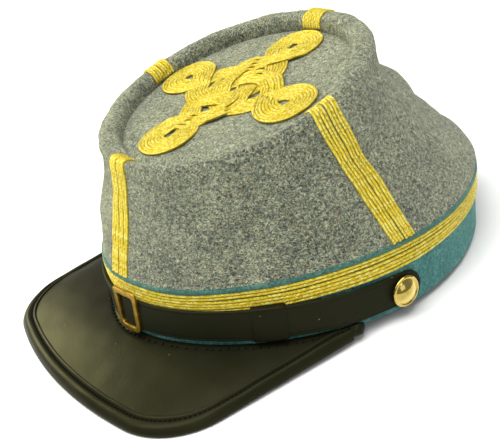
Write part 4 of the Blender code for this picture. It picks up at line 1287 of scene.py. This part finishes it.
def add_binding_ends():
    """Wrapped ends behind the peak's tips: an oval section that shrinks along its
    length as a circle does, crumpled by short waves."""
    share = np.linspace(0, 1, 30)[:, None]
    left = PEAK_TIP_TURN + (END_START + END_LENGTH * share) / END_PER_RADIAN
    size = np.sqrt(np.clip(1 - (np.clip(share - 0.45, 0, 1) / 0.56) ** 2, 0.02, 1))
    up, out = np.sin(full_turn(28)), 1 + np.cos(full_turn(28))
    high, off = (middle + half * size * way for middle, half, way in zip(END_MIDDLE, END_HALF, (up, out)))
    for name, around in (("left", left), ("right", -pi - left)):
        crumple = ripple(wall(around, high, off), *END_RIPPLES)
        points = wall(around, high + crumple * up, off + crumple * out / 2)
        add_bar(f"{name}_wrapped_end", points, strap_leather, "black leather", f"{name}_binding_end")


# ---- studio

def looking_from(azimuth_deg, elevation_deg):
    """Directions of a thing that looks in from an azimuth and elevation: its right, up
    and back."""
    azimuth, elevation = radians(azimuth_deg), radians(elevation_deg)
    back = np.array([math.sin(azimuth) * math.cos(elevation), -math.cos(azimuth) * math.cos(elevation),
                     math.sin(elevation)])
    right = unit(np.cross(-back, [0.0, 0.0, 1.0]))
    return right, np.cross(back, right), back


def set_up(name, data, axes, position):
    """An object of the studio, given its directions and its place in world metres."""
    made = bpy.data.objects.new(name, data)
    matrix = np.eye(4)
    matrix[:3] = np.column_stack([*axes, position])
    made.matrix_world = Matrix(matrix.tolist())
    bpy.context.collection.objects.link(made)
    return made


def add_camera():
    """The photograph's camera in the cap's frame: it looks at a target from an azimuth
    and elevation at a distance, rolled about its own axis."""
    azimuth_deg, elevation_deg, tilt = 59.04, 26.44, radians(-10.92)
    target, distance, focal_px, width_px = (-33.16, -5.0, 2.61), 448.79, 810.49, 500
    right, up, back = looking_from(azimuth_deg, elevation_deg)
    rolled = (math.cos(tilt) * right + math.sin(tilt) * up,
              math.cos(tilt) * up - math.sin(tilt) * right, back)
    data = bpy.data.cameras.new("camera")
    data.sensor_width = 36.0
    data.lens = focal_px * data.sensor_width / width_px
    axes = (place(np.array(rolled)) - place(np.zeros(3))) / MM
    bpy.context.scene.camera = set_up("camera", data, axes, place(target + back * distance))


def add_soft_light(name, azimuth_deg, elevation_deg, distance, size, power, colour=(1.0, 1.0, 1.0)):
    """A square area light aimed at the cap from a direction round it."""
    data = bpy.data.lights.new(name, "AREA")
    data.size = size
    data.energy = power
    data.color = colour
    axes = looking_from(azimuth_deg, elevation_deg)
    set_up(name, data, axes, axes[2] * distance + [0.0, 0.0, 0.05])


def add_ground():
    """A wide pale floor under the cap."""
    half = 6.0
    mesh = bpy.data.meshes.new("ground")
    mesh.from_pydata([(-half, -half, 0), (half, -half, 0), (half, half, 0), (-half, half, 0)], [],
                     [(0, 1, 2, 3)])
    mesh.materials.append(pale_ground)
    ground = bpy.data.objects.new("ground", mesh)
    bpy.context.collection.objects.link(ground)


def light_studio():
    """Soft light: an even pale world, a large lamp overhead, a key from the peak's side, a
    strip that the peak reflects, and a weak fill from the camera."""
    world = bpy.data.worlds.new("studio")
    world.use_nodes = True
    sky = world.node_tree.nodes["Background"]
    sky.inputs["Color"].default_value = (1.0, 1.0, 1.0, 1.0)
    sky.inputs["Strength"].default_value = 0.36
    bpy.context.scene.world = world
    bpy.context.scene.view_settings.view_transform = "Standard"
    add_soft_light("overhead", 30, 82, 1.7, 1.6, 38)
    add_soft_light("key", -20, 50, 1.6, 0.8, 9)
    add_soft_light("peak_strip", -75, 26, 1.3, 0.6, 9.5, (1.0, 0.94, 0.5))
    add_soft_light("fill", 75, 30, 1.8, 1.0, 4)


for build in (add_camera, add_ground, light_studio, add_crown, add_disc, add_band, add_welt,
              add_band_braid, add_braids, add_knot, add_chin_strap, add_keeper, add_buckle,
              add_buttons, add_peak, add_binding, add_binding_stitches, add_seam_stitches,
              add_binding_ends):
    build()
